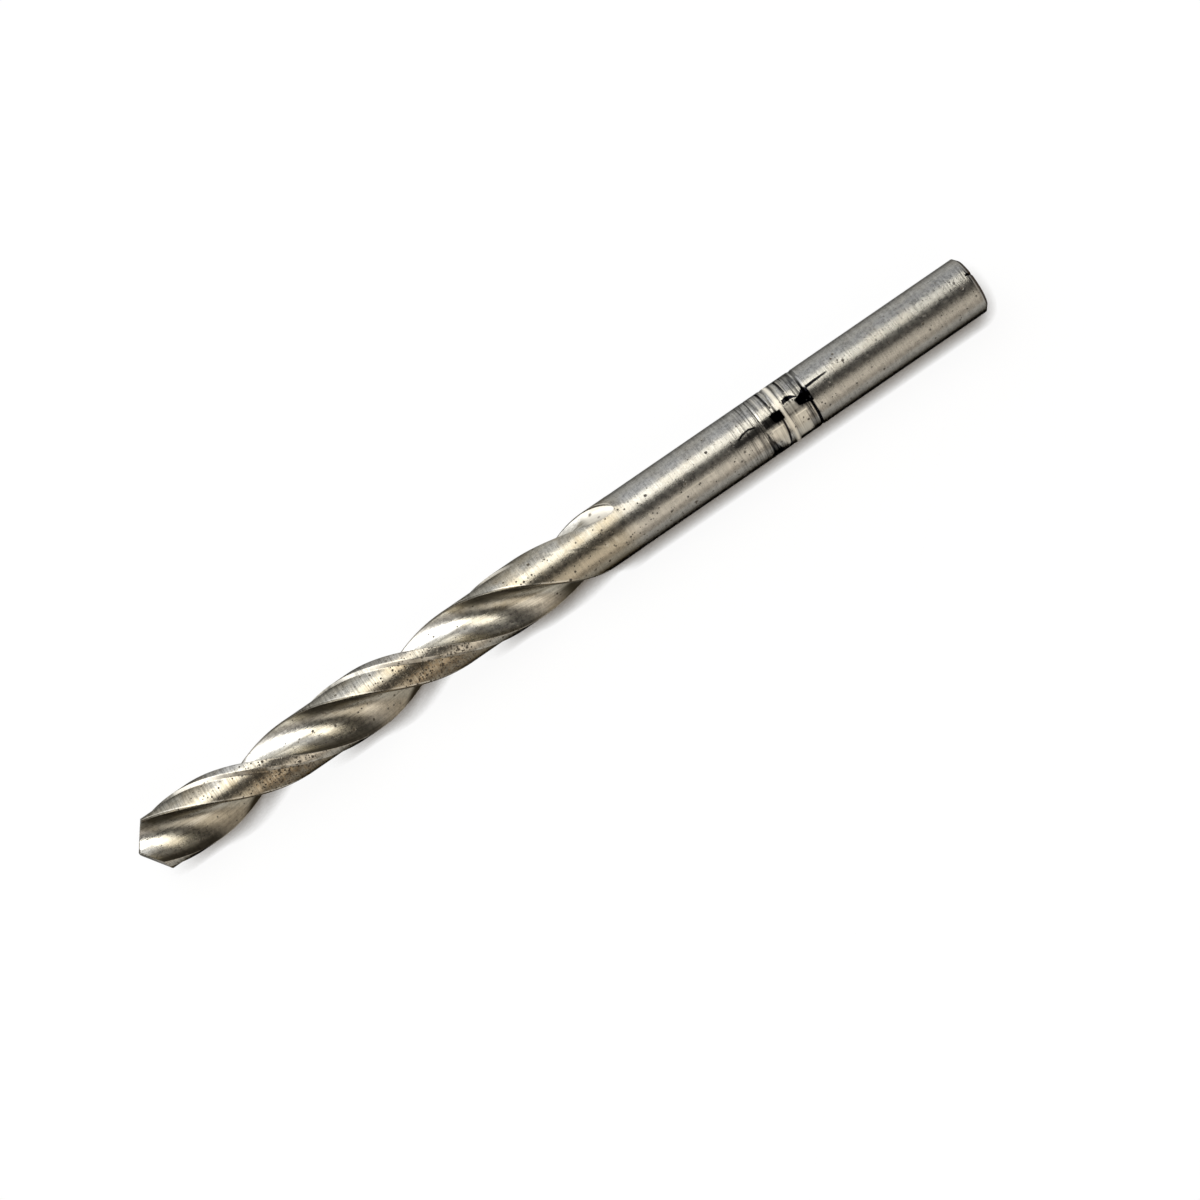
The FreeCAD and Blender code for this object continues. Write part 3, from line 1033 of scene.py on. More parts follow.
@dataclass(frozen=True)
class WornSteel:
    """High speed steel, ground on a wheel and then dulled by use, handling and a little rust.

    Grinding leaves a grey mirror that is blurred across its fine lines. A thin brown film takes the shine
    off in clouds, and it is laid thicker toward -Y as painted shade on the side away from the window. The
    flutes carry painted shade in dark brown under the heels, in wedges by the outline and low down, with a
    painted dark reflection on the rake side near the point. Along their +Y side, toward the window, they
    are painted light, and two stretches of them are lighter. Where the flutes run out they are painted
    light cream, the end's chamfer is painted dark brown as shade, and the margins are painted lighter
    toward -Y and darker grey-blue toward +Y. Outside the flutes the steel is painted darker low down and
    toward -Y, as shade. Rust has bitten pits, more of them toward -Y, edges are worn bright with a painted
    highlight on the heel and the step, and the slipped chuck has left black smears, light rubs and white
    scratches, some of them painted highlights. Lines and specks finer than a tenth of a millimetre wouldn't
    show, so they are drawn that coarse.
    """

    name: str = "worn_ground_high_speed_steel"
    steel: str = "#9c998f"
    shank_steel: Coat = Coat("#9b9a95")
    # The film is partly painted shade: it is laid thicker toward -Y, away from the window.
    film: Coat = Coat("#877c66", 0.6)
    # Painted light and shade on the margins: lighter toward -Y and darker grey-blue toward +Y.
    margin_highlight: Coat = Coat("#b3b0a7", 0.55)
    margin_shade: Coat = Coat("#67686a", 0.55)
    # Painted light in the flutes along their +Y side, toward the window, and two lighter stretches.
    lighter_flute: Coat = Coat("#dbd8ce", 0.8)
    rust: Coat = Coat("#5d4a30")
    score: Coat = Coat("#07070a", 0.75)
    # Painted shade in dark brown: in the flutes under the heels, in wedges and low down, and beside the
    # heel.
    painted_shade_colour: Coat = Coat("#2c261a", 1.0, 0.12)
    # Painted shade outside the flutes, low down and toward -Y.
    low_shade_colour: Coat = Coat("#1e1710")
    # Worn edges, with a painted highlight on the heel's edge and on the step.
    rub_and_highlight: Coat = Coat("#e2ddd0", 0.85, 0.30)
    # Rubs, and painted highlights among the bright marks.
    rubs_and_glints: Coat = Coat("#f0ead9", 0.85, 0.22)
    # Painted light: where the flutes run out, the steel is laid over in light cream.
    lit_pocket: Coat = Coat("#e2ddd0", 0.7, 0.25)
    pit: Coat = Coat("#32281a", 0.85, 0.4)
    smear: Coat = Coat("#07070a", 1.0, -0.16)
    # Painted shade: the chamfered end is dark brown all round.
    rim: Coat = Coat("#2c1f12", 0.9)

    # Widths of the patterns in millimetres, and how fast the lines change along their own length.
    line_mm: float = 0.12
    line_drift: float = 0.3
    flute_line_mm: float = 0.16
    flute_drift: float = 0.16
    flute_width_mm: float = 5.6
    slip_line_mm: float = 0.13
    slip_drift: float = 0.22
    mottle_mm: float = 0.32
    cloud_mm: float = 2.6
    pit_cell_mm: float = 0.37
    pit_share: float = 0.42
    speck_cell_mm: float = 0.20
    speck_share: float = 0.44
    more_specks: float = 1.5

    # Where on the drill each thing is.
    in_flute: Patch = ((SHARE, Ramp(-0.7, -0.1)),)
    on_shank: Patch = ((STATION, Ramp(48.0, 51.0)),)
    pocket_at: Patch = ((STATION, Ramp(46.5, 47.3)),)
    # Where the painted shade on the chamfered end lies.
    rim_at: Patch = ((STATION, Ramp(85.66, 85.796)),)
    cut: Patch = ((SHARE, Ramp(0.03, 0.14)), (STATION, Ramp(46.0, 47.4, 1.0, 0.2)))
    lee: Patch = ((SHARE, Ramp(0.42, 0.52)), (HEIGHT, Ramp(0.42, 0.66)))
    # Painted light on the +Y side, toward the window, and two lighter stretches.
    lighter_where: tuple[Patch, ...] = (
        ((SIDE, Ramp(-0.9, 0.35)),),
        ((STATION, Ramp(21.0, 23.2, 0.0, 0.4)), (STATION, Ramp(26.0, 22.8))),
        ((STATION, Ramp(34.0, 36.2, 0.0, 0.55)), (STATION, Ramp(42.8, 39.6))),
    )
    # Painted shade and a painted dark reflection in the flutes: dark brown under each heel, in the wedges by
    # the outline toward -Y and at the run-out, on the rake side near the point, and low down.
    painted_flute_shade: tuple[Patch, ...] = (
        ((SHARE, Ramp(0.92, 1.0, 0.0, 0.6)),),
        ((SHARE, Ramp(0.950, 0.985, 0.0, 0.95)),),
        ((SHARE, Ramp(0.70, 0.84, 0.0, 0.68)), (HEIGHT, Ramp(0.7, 1.25))),
        ((SHARE, Ramp(0.80, 0.96, 0.0, 0.96)), (HEIGHT, Ramp(0.5, -1.0)), SHADED_SIDE),
        ((STATION, Ramp(40.2, 43.2, 0.0, 0.99)), (HEIGHT, Ramp(0.15, -0.60)), SHADED_SIDE),
        (
            (SHARE, Ramp(0.20, 0.09, 0.0, 0.82)),
            (HEIGHT, Ramp(-0.55, 0.1, 0.2, 1.0)),
            (STATION, Ramp(15.0, 28.0, 1.0, 0.0)),
            SHADED_SIDE,
        ),
        ((HEIGHT, Ramp(-1.22, -1.78)),),
    )
    # Painted shade outside the flutes: dark brown toward -Y at the outline, away from the window, and darker
    # low down on both sides.
    painted_low_shade: tuple[Patch, ...] = (
        ((SIDE, Ramp(-1.9, -2.85, 0.0, 0.92)),),
        ((HEIGHT, Ramp(2.2, 0.7, 0.0, 0.42)),),
    )

    # How the patterns and shares turn into one another.
    film_clouds: Ramp = Ramp(0.42, 0.66)
    film_shade_side: Ramp = Ramp(0.5, 1.0, 0.0, 0.85)
    film_on_shank: Ramp = Ramp(0.0, 1.0, 1.0, 0.30)
    rust_in_flute: Ramp = Ramp(0.0, 1.0, 1.0, 0.22)
    rust_mottle: Ramp = Ramp(0.25, 0.75)
    rust_on_margin: Ramp = Ramp(0.0, 1.0, 1.0, 0.4)
    pit_edge: Ramp = Ramp(-0.03, 0.10)
    line_swing: Ramp = Ramp(0.30, 0.70, -1.0, 1.0)
    line_contrast: Ramp = Ramp(22.0, 46.0, 0.44, 0.14)
    flute_contrast: float = 0.24
    slip_contrast: float = 0.45
    flecks: Ramp = Ramp(0.30, 0.70, 0.73, 1.25)
    score_lines: Ramp = Ramp(0.50, 0.62)
    # Painted shade: edge values below 0, beside the heel, turn dark.
    step_line: Ramp = Ramp(0.0, -1.0, 0.0, 0.75)
    rub_clouds: Ramp = Ramp(0.36, 0.58)
    torn: Ramp = Ramp(0.2, 0.8, -0.18, 0.18)
    smear_edge: Ramp = Ramp(0.28, 0.66)
    roughness: Ramp = Ramp(0.3, 0.7, 0.23, 0.34)
    metal: Ramp = Ramp(0.0, 1.0, 1.0, 0.3)
    # Under the painted low shade the specular tint goes dark too, so those parts reflect less.
    edge_tint: Ramp = Ramp(0.0, 0.9, 0.6, 0.0)
    pit_relief: float = -2.0
    mottle_relief: float = 0.8
    relief_mm: float = 0.012

    # Stations, with the share of rust there, and of the lines that the slipping chuck scored.
    rust_along: tuple[tuple[float, float], ...] = (
        (0.0, 0.22),
        (10.5, 0.32),
        (12.2, 1.0),
        (15.8, 1.0),
        (18.5, 0.3),
        (22.5, 0.55),
        (26.5, 0.60),
        (28.2, 0.95),
        (32.0, 0.95),
        (34.5, 0.30),
        (44.0, 0.20),
        (58.0, 0.10),
        (86.0, 0.10),
    )
    slip_along: tuple[tuple[float, float], ...] = (
        (60.0, 0.0),
        (61.32, 0.5),
        (63.85, 1.0),
        (68.58, 1.0),
        (68.80, 0.0),
        (71.0, 0.0),
    )
    large_pits: tuple[Pit, ...] = (
        Pit(12.60, 89.2, 0.13),
        Pit(12.34, 104.1, 0.11),
        Pit(13.17, 115.6, 0.11),
        Pit(12.39, 130.3, 0.15),
        Pit(13.84, 65.9, 0.10),
        Pit(24.06, 47.8, 0.12),
        Pit(24.57, 47.9, 0.12),
        Pit(25.24, 73.0, 0.11),
        Pit(23.23, 76.8, 0.10),
        Pit(26.34, 71.1, 0.13),
        Pit(27.84, 117.0, 0.11),
        Pit(29.18, 123.2, 0.12),
        Pit(47.59, 28.9, 0.19, 2.40),
        Pit(48.07, 55.0, 0.17, 2.52),
        Pit(84.26, 76.7, 0.14),
        Pit(80.35, 122.5, 0.11),
        Pit(85.22, 119.0, 0.11),
        Pit(60.74, 126.9, 0.11),
        Pit(61.39, 114.0, 0.10),
        Pit(63.30, 152.7, 0.11),
        Pit(70.65, 96.6, 0.10),
    )
    sizes: DrillSizes = DrillSizes()


class SteelShader:
    """The nodes of the worn steel."""

    def __init__(self, look: WornSteel) -> None:
        """Begin the material, and find what its colour, gloss and relief go by.

        Args:
            look: The finish to make.
        """
        self.look = look
        self.made = bpy.data.materials.new(look.name)
        self.made.use_nodes = True
        self.tree = tree = self.made.node_tree
        coordinates = node(tree, "ShaderNodeTexCoord")
        self.places = node(tree, VECTOR, SCALED, i0=coordinates.outputs["Object"], Scale=1 / MM).outputs[0]
        axes = node(tree, SPLIT, Vector=self.places)
        station = node(tree, MATH, PLUS, i0=axes.outputs["X"], i1=look.sizes.overall_length)
        self.carried = {
            kind: node(tree, "ShaderNodeAttribute", {"attribute_name": kind.value}).outputs["Fac"]
            for kind in Attribute
        }
        self.readings = {
            SHARE: self.carried[Attribute.FLUTE],
            STATION: station.outputs[0],
            SIDE: axes.outputs["Y"],
            HEIGHT: axes.outputs["Z"],
        }
        self.in_flute = self.cover(look.in_flute)
        self.on_shank = self.cover(look.on_shank)
        self.shade_side = self.cover((SHADED_SIDE,))
        self.slip = self.along(look.slip_along)
        self.lines = self.ground_lines()
        self.mottle = node(
            tree, NOISE, Vector=self.places, Scale=1 / look.mottle_mm, Detail=4.0, Roughness=0.7
        ).outputs["Fac"]
        self.clouds = node(
            tree, NOISE, Vector=self.places, Scale=1 / look.cloud_mm, Detail=3.0, Roughness=0.6
        ).outputs["Fac"]
        self.rusty = self.rust_share()
        self.pits = self.rust_pits()
        # Painted shade in the flutes, painted light where the flutes run out, and painted shade low down
        # outside them.
        outside = node(tree, MATH, MINUS, i0=1.0, i1=self.in_flute).outputs[0]
        self.painted_flute_shade, self.lit_pocket, self.painted_low_shade = (
            node(tree, MATH, TIMES, i0=self.cover(*patches), i1=where).outputs[0]
            for patches, where in (
                (look.painted_flute_shade, self.in_flute),
                ((look.pocket_at,), self.in_flute),
                (look.painted_low_shade, outside),
            )
        )
        # Edges worn bright, with painted highlights on the heel's edge and on the step.
        patchy = node(tree, RANGE, SMOOTH, i0=self.clouds, **look.rub_clouds.ends).outputs[0]
        self.rub_and_highlight = node(tree, MATH, CLAMPED, i0=self.carried[Attribute.EDGE], i1=patchy).outputs[0]

    def cover(self, *patches: Patch) -> Socket:
        """How far patches cover each place.

        Args:
            patches: The patches. The ramps of each are multiplied.

        Returns:
            The most that any of them covers.
        """
        total: object = 0.0
        for patch in patches:
            share: object = 1.0
            for reading, ramp in patch:
                eased = node(self.tree, RANGE, SMOOTH, i0=self.readings[reading], **ramp.ends)
                share = node(self.tree, MATH, TIMES, i0=share, i1=eased.outputs[0]).outputs[0]
            total = node(self.tree, MATH, MOST, i0=total, i1=share).outputs[0]
        return total

    def along(self, stops: tuple[tuple[float, float], ...]) -> Socket:
        """A share that changes along the drill.

        Args:
            stops: Stations in rising order, each with its share.

        Returns:
            The share, in even slopes from stop to stop.
        """
        first, last = stops[0][0], stops[-1][0]
        place = node(self.tree, RANGE, i0=self.readings[STATION], i1=first, i2=last)
        slopes = node(self.tree, "ShaderNodeValToRGB", Fac=place.outputs[0])
        elements = slopes.color_ramp.elements
        while len(elements) < len(stops):
            elements.new(0.5)
        for element, (station, share) in zip(elements, stops):
            element.position = (station - first) / (last - first)
            element.color = (share, share, share, 1.0)
        return slopes.outputs["Color"]

    def laid(self, under: object, coats: tuple[tuple[Socket, Coat], ...]) -> Socket:
        """Coats laid over a colour.

        Args:
            under: The colour beneath them all, as a socket or a value.
            coats: The coats from the lowest to the highest, each after its share at each place.

        Returns:
            The colour that is seen.
        """
        colour = under
        for share, coat in coats:
            hides = node(self.tree, MATH, CLAMPED, i0=share, i1=coat.most)
            both = node(self.tree, MIX, COLOURS, i0=hides.outputs[0], i6=colour, i7=linear(coat.colour))
            colour = both.outputs[2]
        return colour

    def ground_lines(self) -> Socket:
        """Lines that the wheels left: across the lands and round the shank, and along the flutes."""
        tree, look = self.tree, self.look
        across = node(
            tree, VECTOR, TIMES, i0=self.places, i1=(1 / look.line_mm, look.line_drift, look.line_drift)
        )
        round_it = node(tree, NOISE, Vector=across.outputs[0], Scale=1.0, Detail=3.0, Roughness=0.65)
        wide = node(
            tree, MATH, TIMES, i0=self.readings[SHARE], i1=look.flute_width_mm / look.flute_line_mm
        )
        far = node(tree, MATH, TIMES, i0=self.readings[STATION], i1=look.flute_drift)
        path = node(tree, "ShaderNodeCombineXYZ", X=wide.outputs[0], Y=far.outputs[0])
        down_it = node(tree, NOISE, Vector=path.outputs[0], Scale=1.0, Detail=3.0, Roughness=0.6)
        return node(
            tree, MIX, i0=self.in_flute, i2=round_it.outputs["Fac"], i3=down_it.outputs["Fac"]
        ).outputs[0]

    def rust_share(self) -> Socket:
        """How rusty the drill is along its length, and round it: rust is laid thicker toward -Y, which
        browns the side away from the window as painted shade.
        """
        outside = node(self.tree, RANGE, i0=self.in_flute, **self.look.rust_in_flute.ends)
        there = node(self.tree, MATH, TIMES, i0=self.shade_side, i1=outside.outputs[0])
        along = self.along(self.look.rust_along)
        return node(self.tree, MATH, TIMES, i0=along, i1=there.outputs[0]).outputs[0]

    def specks(self, cell_mm: float, share: Socket, largest: float) -> Socket:
        """Pits of mixed size, one to a cell at most.

        Args:
            cell_mm: Width of a cell.
            share: How many of the cells have a pit.
            largest: Radius of the largest pit, as a share of its cell.

        Returns:
            1 in a pit and 0 outside it.
        """
        tree = self.tree
        cells = node(tree, "ShaderNodeTexVoronoi", Vector=self.places, Scale=1 / cell_mm, Randomness=1.0)
        chance = node(tree, "ShaderNodeSeparateColor", Color=cells.outputs["Color"])
        least = node(tree, MATH, MINUS, i0=1.0, i1=share)
        size = node(tree, RANGE, i0=chance.outputs["Red"], i1=least.outputs[0], i2=1.0, i3=0.0, i4=largest)
        inside = node(tree, MATH, MINUS, i0=size.outputs[0], i1=cells.outputs["Distance"])
        return node(tree, RANGE, i0=inside.outputs[0], **self.look.pit_edge.ends).outputs[0]

    def rust_pits(self) -> Socket:
        """Every rust pit: scattered ones, fine specks, and the few large ones in their places."""
        tree, look = self.tree, self.look
        scattered = self.specks(look.pit_cell_mm, self.rusty, look.pit_share)
        more = node(tree, MATH, TIMES, i0=self.rusty, i1=look.more_specks)
        fine = self.specks(look.speck_cell_mm, more.outputs[0], look.speck_share)
        total = node(tree, MATH, MOST, i0=scattered, i1=fine).outputs[0]
        for pit in look.large_pits:
            middle = pit.middle(look.sizes.overall_length)
            away = node(tree, VECTOR, {"operation": "DISTANCE"}, i0=self.places, i1=middle)
            inside = node(tree, RANGE, i0=away.outputs["Value"], **pit.edge.ends)
            total = node(tree, MATH, MOST, i0=total, i1=inside.outputs[0]).outputs[0]
        return total

    def film_and_side_shade(self) -> Socket:
        """How much film there is: in clouds, thicker toward -Y as painted shade on the side away from the
        window, and less on the shank.
        """
        tree, look = self.tree, self.look
        cloudy = node(tree, RANGE, SMOOTH, i0=self.clouds, **look.film_clouds.ends)
        below = node(tree, RANGE, i0=self.shade_side, **look.film_shade_side.ends)
        either = node(tree, MATH, MOST, i0=cloudy.outputs[0], i1=below.outputs[0])
        less = node(tree, RANGE, i0=self.on_shank, **look.film_on_shank.ends)
        return node(tree, MATH, TIMES, i0=either.outputs[0], i1=less.outputs[0]).outputs[0]

    def flute_lighter(self) -> Socket:
        """The parts of a flute that are lighter than the rest: painted light along the +Y side, toward the
        window, and two stretches along the drill.
        """
        tree, look = self.tree, self.look
        shown = node(tree, MATH, TIMES, i0=self.cover(look.cut), i1=self.cover(*look.lighter_where))
        open_back = node(tree, MATH, MINUS, i0=1.0, i1=self.cover(look.lee))
        return node(tree, MATH, TIMES, i0=shown.outputs[0], i1=open_back.outputs[0]).outputs[0]

    def stained(self) -> Socket:
        """How much rust stain there is: in a fine mottle, and less on the margins."""
        tree, look = self.tree, self.look
        mottled = node(tree, RANGE, i0=self.mottle, **look.rust_mottle.ends)
        there = node(tree, MATH, TIMES, i0=mottled.outputs[0], i1=self.rusty)
        off_margin = node(tree, RANGE, i0=self.carried[Attribute.MARGIN], **look.rust_on_margin.ends)
        return node(tree, MATH, TIMES, i0=there.outputs[0], i1=off_margin.outputs[0]).outputs[0]

    def streaked(self, colour: Socket) -> Socket:
        """A colour made lighter and darker by the ground lines and the mottle."""
        tree, look = self.tree, self.look
        calm = node(tree, RANGE, i0=self.readings[STATION], **look.line_contrast.ends)
        calm = node(tree, MIX, i0=self.in_flute, i2=calm.outputs[0], i3=look.flute_contrast)
        swing = node(tree, MIX, i0=self.slip, i2=calm.outputs[0], i3=look.slip_contrast)
        centred = node(tree, RANGE, i0=self.lines, **look.line_swing.ends)
        streaks = node(tree, MATH, TIMES_PLUS, i0=centred.outputs[0], i1=swing.outputs[0], i2=1.0)
        flecks = node(tree, RANGE, i0=self.mottle, **look.flecks.ends)
        both = node(tree, MATH, TIMES, i0=streaks.outputs[0], i1=flecks.outputs[0])
        return node(tree, VECTOR, SCALED, i0=colour, Scale=both.outputs[0]).outputs[0]

    def scores(self) -> Socket:
        """The fine dark lines that the slipping chuck scored round the shank."""
        tree, look = self.tree, self.look
        stretched = node(
            tree, VECTOR, TIMES, i0=self.places, i1=(1 / look.slip_line_mm, look.slip_drift, look.slip_drift)
        )
        fine = node(tree, NOISE, Vector=stretched.outputs[0], Scale=1.0, Detail=2.0, Roughness=0.5)
        dark = node(tree, RANGE, i0=fine.outputs["Fac"], **look.score_lines.ends)
        return node(tree, MATH, TIMES, i0=dark.outputs[0], i1=self.slip).outputs[0]

    def smeared(self) -> Socket:
        """The black smears, with their edges torn along the ground lines."""
        tree, look = self.tree, self.look
        torn = node(tree, RANGE, i0=self.lines, **look.torn.ends)
        ragged = node(tree, MATH, PLUS, i0=self.carried[Attribute.BLACK], i1=torn.outputs[0])
        full = node(tree, RANGE, i0=ragged.outputs[0], **look.smear_edge.ends)
        return node(tree, MATH, TIMES, i0=full.outputs[0], i1=self.on_shank).outputs[0]

    def colour(self) -> Socket:
        """The ground steel's colour, with every coat and mark that lies over it."""
        tree, look = self.tree, self.look
        margin = self.carried[Attribute.MARGIN]
        # Painted light and shade: margins lighter toward -Y and darker grey-blue toward +Y.
        lit_margin_share = node(tree, MATH, TIMES, i0=margin, i1=self.shade_side).outputs[0]
        shaded_margin_share = node(tree, MATH, MINUS, i0=margin, i1=lit_margin_share).outputs[0]
        steel = self.laid(
            linear(look.steel),
            (
                (self.on_shank, look.shank_steel),
                (self.film_and_side_shade(), look.film),
                (lit_margin_share, look.margin_highlight),
                (shaded_margin_share, look.margin_shade),
                (self.flute_lighter(), look.lighter_flute),
                (self.stained(), look.rust),
            ),
        )
        # Painted shade: a dark line beside each heel, from the edge values below 0.
        painted_heel_shade = node(tree, RANGE, i0=self.carried[Attribute.EDGE], **look.step_line.ends).outputs[0]
        return self.laid(
            self.streaked(steel),
            (
                (self.scores(), look.score),
                (self.painted_flute_shade, look.painted_shade_colour),
                (self.painted_low_shade, look.low_shade_colour),
                (painted_heel_shade, look.painted_shade_colour),
                (self.rub_and_highlight, look.rub_and_highlight),
                (self.carried[Attribute.BRIGHT], look.rubs_and_glints),
                (self.lit_pocket, look.lit_pocket),
                (self.pits, look.pit),
                (self.smeared(), look.smear),
                (self.cover(look.rim_at), look.rim),
            ),
        )

    def roughness(self) -> Socket:
        """The ground steel's roughness, with what each coat adds to it."""
        look = self.look
        rough = node(self.tree, RANGE, i0=self.mottle, **look.roughness.ends).outputs[0]
        for share, coat in (
            (self.pits, look.pit),
            (self.painted_flute_shade, look.painted_shade_colour),
            (self.carried[Attribute.BRIGHT], look.rubs_and_glints),
            (self.rub_and_highlight, look.rub_and_highlight),
            (self.lit_pocket, look.lit_pocket),
            (self.carried[Attribute.BLACK], look.smear),
        ):
            rough = node(self.tree, MATH, TIMES_PLUS, i0=share, i1=coat.rougher, i2=rough).outputs[0]
        return rough

    def relief(self) -> Socket:
        """The way that the surface leans in its lines, mottle and pits."""
        tree, look = self.tree, self.look
        sunk = node(tree, MATH, TIMES_PLUS, i0=self.pits, i1=look.pit_relief, i2=self.lines)
        height = node(tree, MATH, TIMES_PLUS, i0=self.mottle, i1=look.mottle_relief, i2=sunk.outputs[0])
        return node(
            tree, "ShaderNodeBump", Height=height.outputs[0], Strength=1.0, Distance=look.relief_mm * MM
        ).outputs[0]

    def material(self) -> bpy.types.Material:
        """The finish as a material."""
        tree, look = self.tree, self.look
        scuffed = node(tree, MATH, MOST, i0=self.pits, i1=self.carried[Attribute.BRIGHT])
        metal = node(tree, RANGE, i0=scuffed.outputs[0], **look.metal.ends)
        # Painted shade: the specular tint darkens under the painted low shade.
        tint = node(tree, RANGE, i0=self.painted_low_shade, **look.edge_tint.ends)
        shader = tree.nodes["Principled BSDF"]
        for name, value in (
            ("Base Color", self.colour()),
            ("Roughness", self.roughness()),
            ("Metallic", metal.outputs[0]),
            ("Specular Tint", tint.outputs[0]),
            ("Normal", self.relief()),
        ):
            tree.links.new(value, shader.inputs[name])
        return self.made


@dataclass(frozen=True)
class PhotoCamera:
    """A camera held above the drill, nearly straight over it."""

    azimuth_deg: float = -34.66
    elevation_deg: float = 84.83
    distance: float = 300.0
    focal_pixels: float = 3525.4
    middle_pixel: tuple[float, float] = (559.07, 566.98)
    image_size: int = 1200
    sensor_width: float = 36.0
    drill_length: float = DrillSizes().overall_length
    clip_near: float = 0.01
    clip_far: float = 10.0

    def directions(self) -> tuple[Vector, Vector, Vector]:
        """The camera's right, up and backward directions."""
        azimuth, elevation = math.radians(self.azimuth_deg), math.radians(self.elevation_deg)
        back = Vector(
            (
                math.sin(azimuth) * math.cos(elevation),
                -math.cos(azimuth) * math.cos(elevation),
                math.sin(elevation),
            )
        )
        right = Vector((0, 0, 1)).cross(back).normalized()
        return right, back.cross(right), back

    def place(self) -> bpy.types.Object:
        """Make the camera and set it as the scene's."""
        right, up, back = self.directions()
        half = self.image_size / 2
        aside = (self.middle_pixel[0] - half) / self.focal_pixels * self.distance
        above = (self.middle_pixel[1] - half) / self.focal_pixels * self.distance
        middle = Vector((-self.drill_length / 2, 0, 0))
        location = middle + back * self.distance - right * aside + up * above
        data = bpy.data.cameras.new("camera")
        data.sensor_width = self.sensor_width
        data.lens = self.focal_pixels / self.image_size * self.sensor_width
        data.clip_start, data.clip_end = self.clip_near, self.clip_far
        camera = bpy.data.objects.new("camera", data)
        turn = Matrix((right, up, back)).transposed()
        camera.matrix_world = Matrix.Translation(location * MM) @ turn.to_4x4()
        bpy.context.scene.collection.objects.link(camera)
        bpy.context.scene.camera = camera
        return camera


@dataclass(frozen=True)
class Softbox:
    """A soft lamp whose length runs along the drill, aimed at the drill's axis from one side."""

    name: str
    elevation_deg: float
    side: float
    distance: float
    along: tuple[float, float]
    width: float
    radiance: float
    colour: str

    def place(self) -> bpy.types.Object:
        """Make the lamp and put it in its place."""
        length = self.along[1] - self.along[0]
        data = bpy.data.lights.new(self.name, "AREA")
        data.shape = "RECTANGLE"
        data.size, data.size_y = length, self.width
        data.color = linear(self.colour)[:3]
        data.energy = self.radiance * math.pi * length * self.width
        lamp = bpy.data.objects.new(self.name, data)
        angle = math.radians(self.elevation_deg)
        toward = Vector((0, self.side * math.cos(angle), math.sin(angle)))
        right = Vector((1, 0, 0))
        turn = Matrix((right, toward.cross(right), toward)).transposed()
        middle = toward * self.distance + Vector((sum(self.along) / 2, 0, 0))
        lamp.matrix_world = Matrix.Translation(middle) @ turn.to_4x4()
        bpy.context.scene.collection.objects.link(lamp)
        return lamp


@dataclass(frozen=True)
class Zone:
    """A lighter or darker part of the room: the way to it, and its strength by the cosine from that way."""

    toward: tuple[float, float, float]
    strength: Ramp


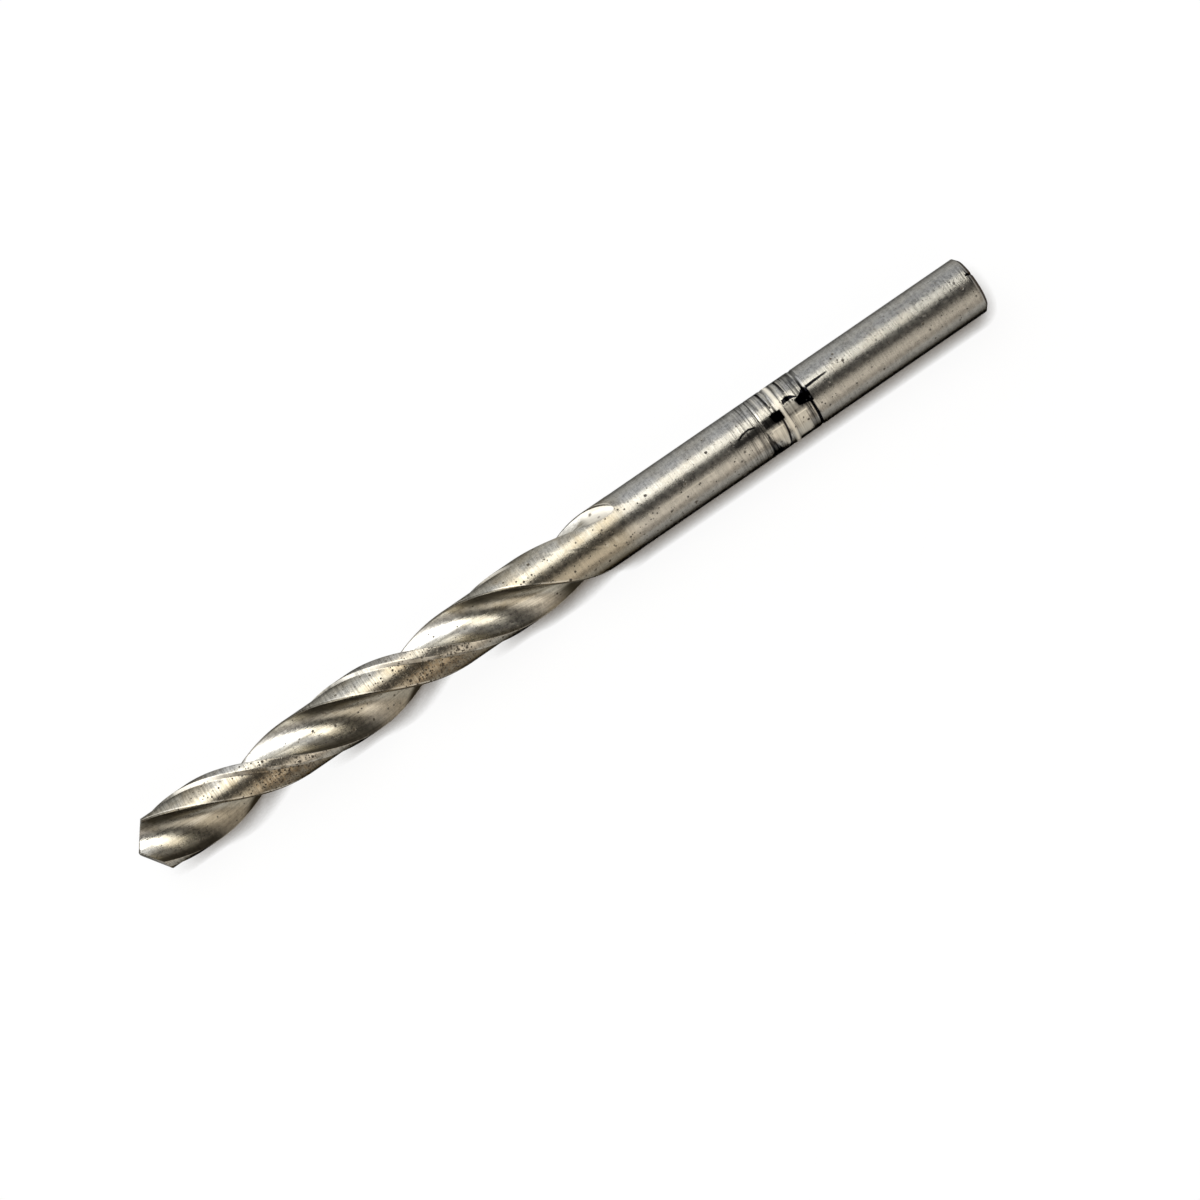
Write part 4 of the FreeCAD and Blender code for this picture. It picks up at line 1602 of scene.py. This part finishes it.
@dataclass(frozen=True)
class Studio:
    """White paper under soft light: a window on one side, pale walls, and a dark camera overhead.

    The zones of the room are what the ground steel reflects, so they set where it is light and dark. They
    follow the photo's light, not a room that is known.
    """

    paper_size: float = 2.5
    paper_colour: str = "#e4e4e4"
    glow_share: float = 0.93
    contact_tone: str = "#51432f"
    contact_reach: float = 1.88
    contact_least: float = 0.47
    contact_side: tuple[float, float, float] = (-0.2, 0.94, 0.25)
    lamps: tuple[Softbox, ...] = (
        Softbox("window", 57.5, 1.0, 0.40, (-0.25, 0.06), 0.25, 4.0, "#fffbf2"),
        Softbox("card", 42.0, -1.0, 0.40, (-0.24, 0.07), 0.29, 1.2, "#fff8ee"),
    )
    far_wall: Ramp = Ramp(-0.5, 0.5, 0.80, 0.65)
    wall_to_ceiling: Ramp = Ramp(0.55, 0.93)
    ceiling: float = 0.10
    dark_zones: tuple[Zone, ...] = (
        Zone((0.620, 0.420, 0.663), Ramp(0.74, 0.92, 1.0, 0.18)),
        Zone((-0.525, -0.840, 0.139), Ramp(0.82, 0.95, 1.0, 0.25)),
    )
    light_zone: Zone = Zone((-0.600, 0.715, 0.358), Ramp(0.70, 0.94, 0.0, 2.6))
    tints: tuple[str, str] = ("#fff4e8", "#f6f8ff")
    tint_reach: Ramp = Ramp(-0.6, 0.6)

    def paper(self) -> bpy.types.Object:
        """The paper that the drill lies on.

        It is plain matt white paper, which gives the eye an even white with no gloss. Only a narrow brown
        shade shows on it, on the side of the drill that is away from the window.
        """
        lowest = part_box("drill_bit")[0].z
        bpy.ops.object.select_all(action="DESELECT")
        bpy.ops.mesh.primitive_plane_add(size=self.paper_size, location=(0, 0, lowest))
        paper = bpy.context.object
        paper.name = "paper"
        made = bpy.data.materials.new("white_paper")
        made.use_nodes = True
        tree = made.node_tree
        tree.nodes.clear()
        sight = node(tree, "ShaderNodeLightPath")
        seen: object = 0.0
        for ray in ("Is Camera Ray", "Is Glossy Ray", "Is Transmission Ray"):
            seen = node(tree, MATH, MOST, i0=seen, i1=sight.outputs[ray]).outputs[0]
        x, y, height = self.contact_side
        side = node(tree, "ShaderNodeCombineXYZ", X=x, Y=y, Z=height)
        open_sky = node(
            tree,
            "ShaderNodeAmbientOcclusion",
            {"samples": 4},
            Distance=self.contact_reach * MM,
            Normal=side.outputs[0],
        )
        shade = node(tree, RANGE, i0=open_sky.outputs["AO"], i1=self.contact_least, i2=1.0).outputs[0]
        tone = node(tree, MIX, COLOURS, i0=shade, i6=linear(self.contact_tone), i7=linear("#ffffff"))
        lit = node(tree, VECTOR, SCALED, i0=tone.outputs[2], Scale=1 - self.glow_share)
        bounce = node(tree, "ShaderNodeBsdfDiffuse", Color=linear(self.paper_colour))
        white = node(tree, "ShaderNodeBsdfDiffuse", Color=lit.outputs[0])
        glow = node(tree, "ShaderNodeEmission", Color=tone.outputs[2], Strength=self.glow_share)
        both = node(tree, "ShaderNodeAddShader", i0=white.outputs[0], i1=glow.outputs[0])
        mix = node(tree, "ShaderNodeMixShader", i0=seen, i1=bounce.outputs[0], i2=both.outputs[0])
        node(tree, "ShaderNodeOutputMaterial", i0=mix.outputs[0])
        paper.data.materials.append(made)
        return paper

    def air(self) -> None:
        """The world's soft light: pale near the horizon, lighter and darker in the zones, dark overhead."""
        world = bpy.data.worlds.new("studio")
        bpy.context.scene.world = world
        world.use_nodes = True
        tree = world.node_tree
        tree.nodes.clear()
        way = node(tree, "ShaderNodeTexCoord").outputs["Generated"]
        parts = node(tree, SPLIT, Vector=way)
        wall = node(tree, RANGE, SMOOTH, i0=parts.outputs["Y"], **self.far_wall.ends)
        above = {**self.wall_to_ceiling.ends, "i3": wall.outputs[0], "i4": self.ceiling}
        light = node(tree, RANGE, SMOOTH, i0=parts.outputs["Z"], **above).outputs[0]
        for zone, joined in [*((zone, TIMES) for zone in self.dark_zones), (self.light_zone, PLUS)]:
            facing = node(tree, VECTOR, FACING, i0=way, i1=zone.toward)
            strength = node(tree, RANGE, SMOOTH, i0=facing.outputs["Value"], **zone.strength.ends)
            light = node(tree, MATH, joined, i0=light, i1=strength.outputs[0]).outputs[0]
        tint = node(tree, RANGE, i0=parts.outputs["Y"], **self.tint_reach.ends)
        warm, cool = (linear(tone) for tone in self.tints)
        colour = node(tree, MIX, COLOURS, i0=tint.outputs[0], i6=warm, i7=cool)
        light = node(tree, "ShaderNodeBackground", Color=colour.outputs[2], Strength=light)
        node(tree, "ShaderNodeOutputWorld", i0=light.outputs[0])


def main() -> None:
    """Build the drill, light it and place the camera."""
    logging.basicConfig(level=logging.INFO, format="%(name)s: %(message)s")
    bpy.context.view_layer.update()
    drill = TwistDrill().build()
    drill.data.materials.clear()
    drill.data.materials.append(SteelShader(WornSteel()).material())
    log.info("%s: %d faces", drill.name, len(drill.data.polygons))
    studio = Studio()
    studio.paper()
    for lamp in studio.lamps:
        lamp.place()
    studio.air()
    PhotoCamera().place()
    bpy.context.scene.view_settings.view_transform = "Standard"


if __name__ == "__main__":
    main()
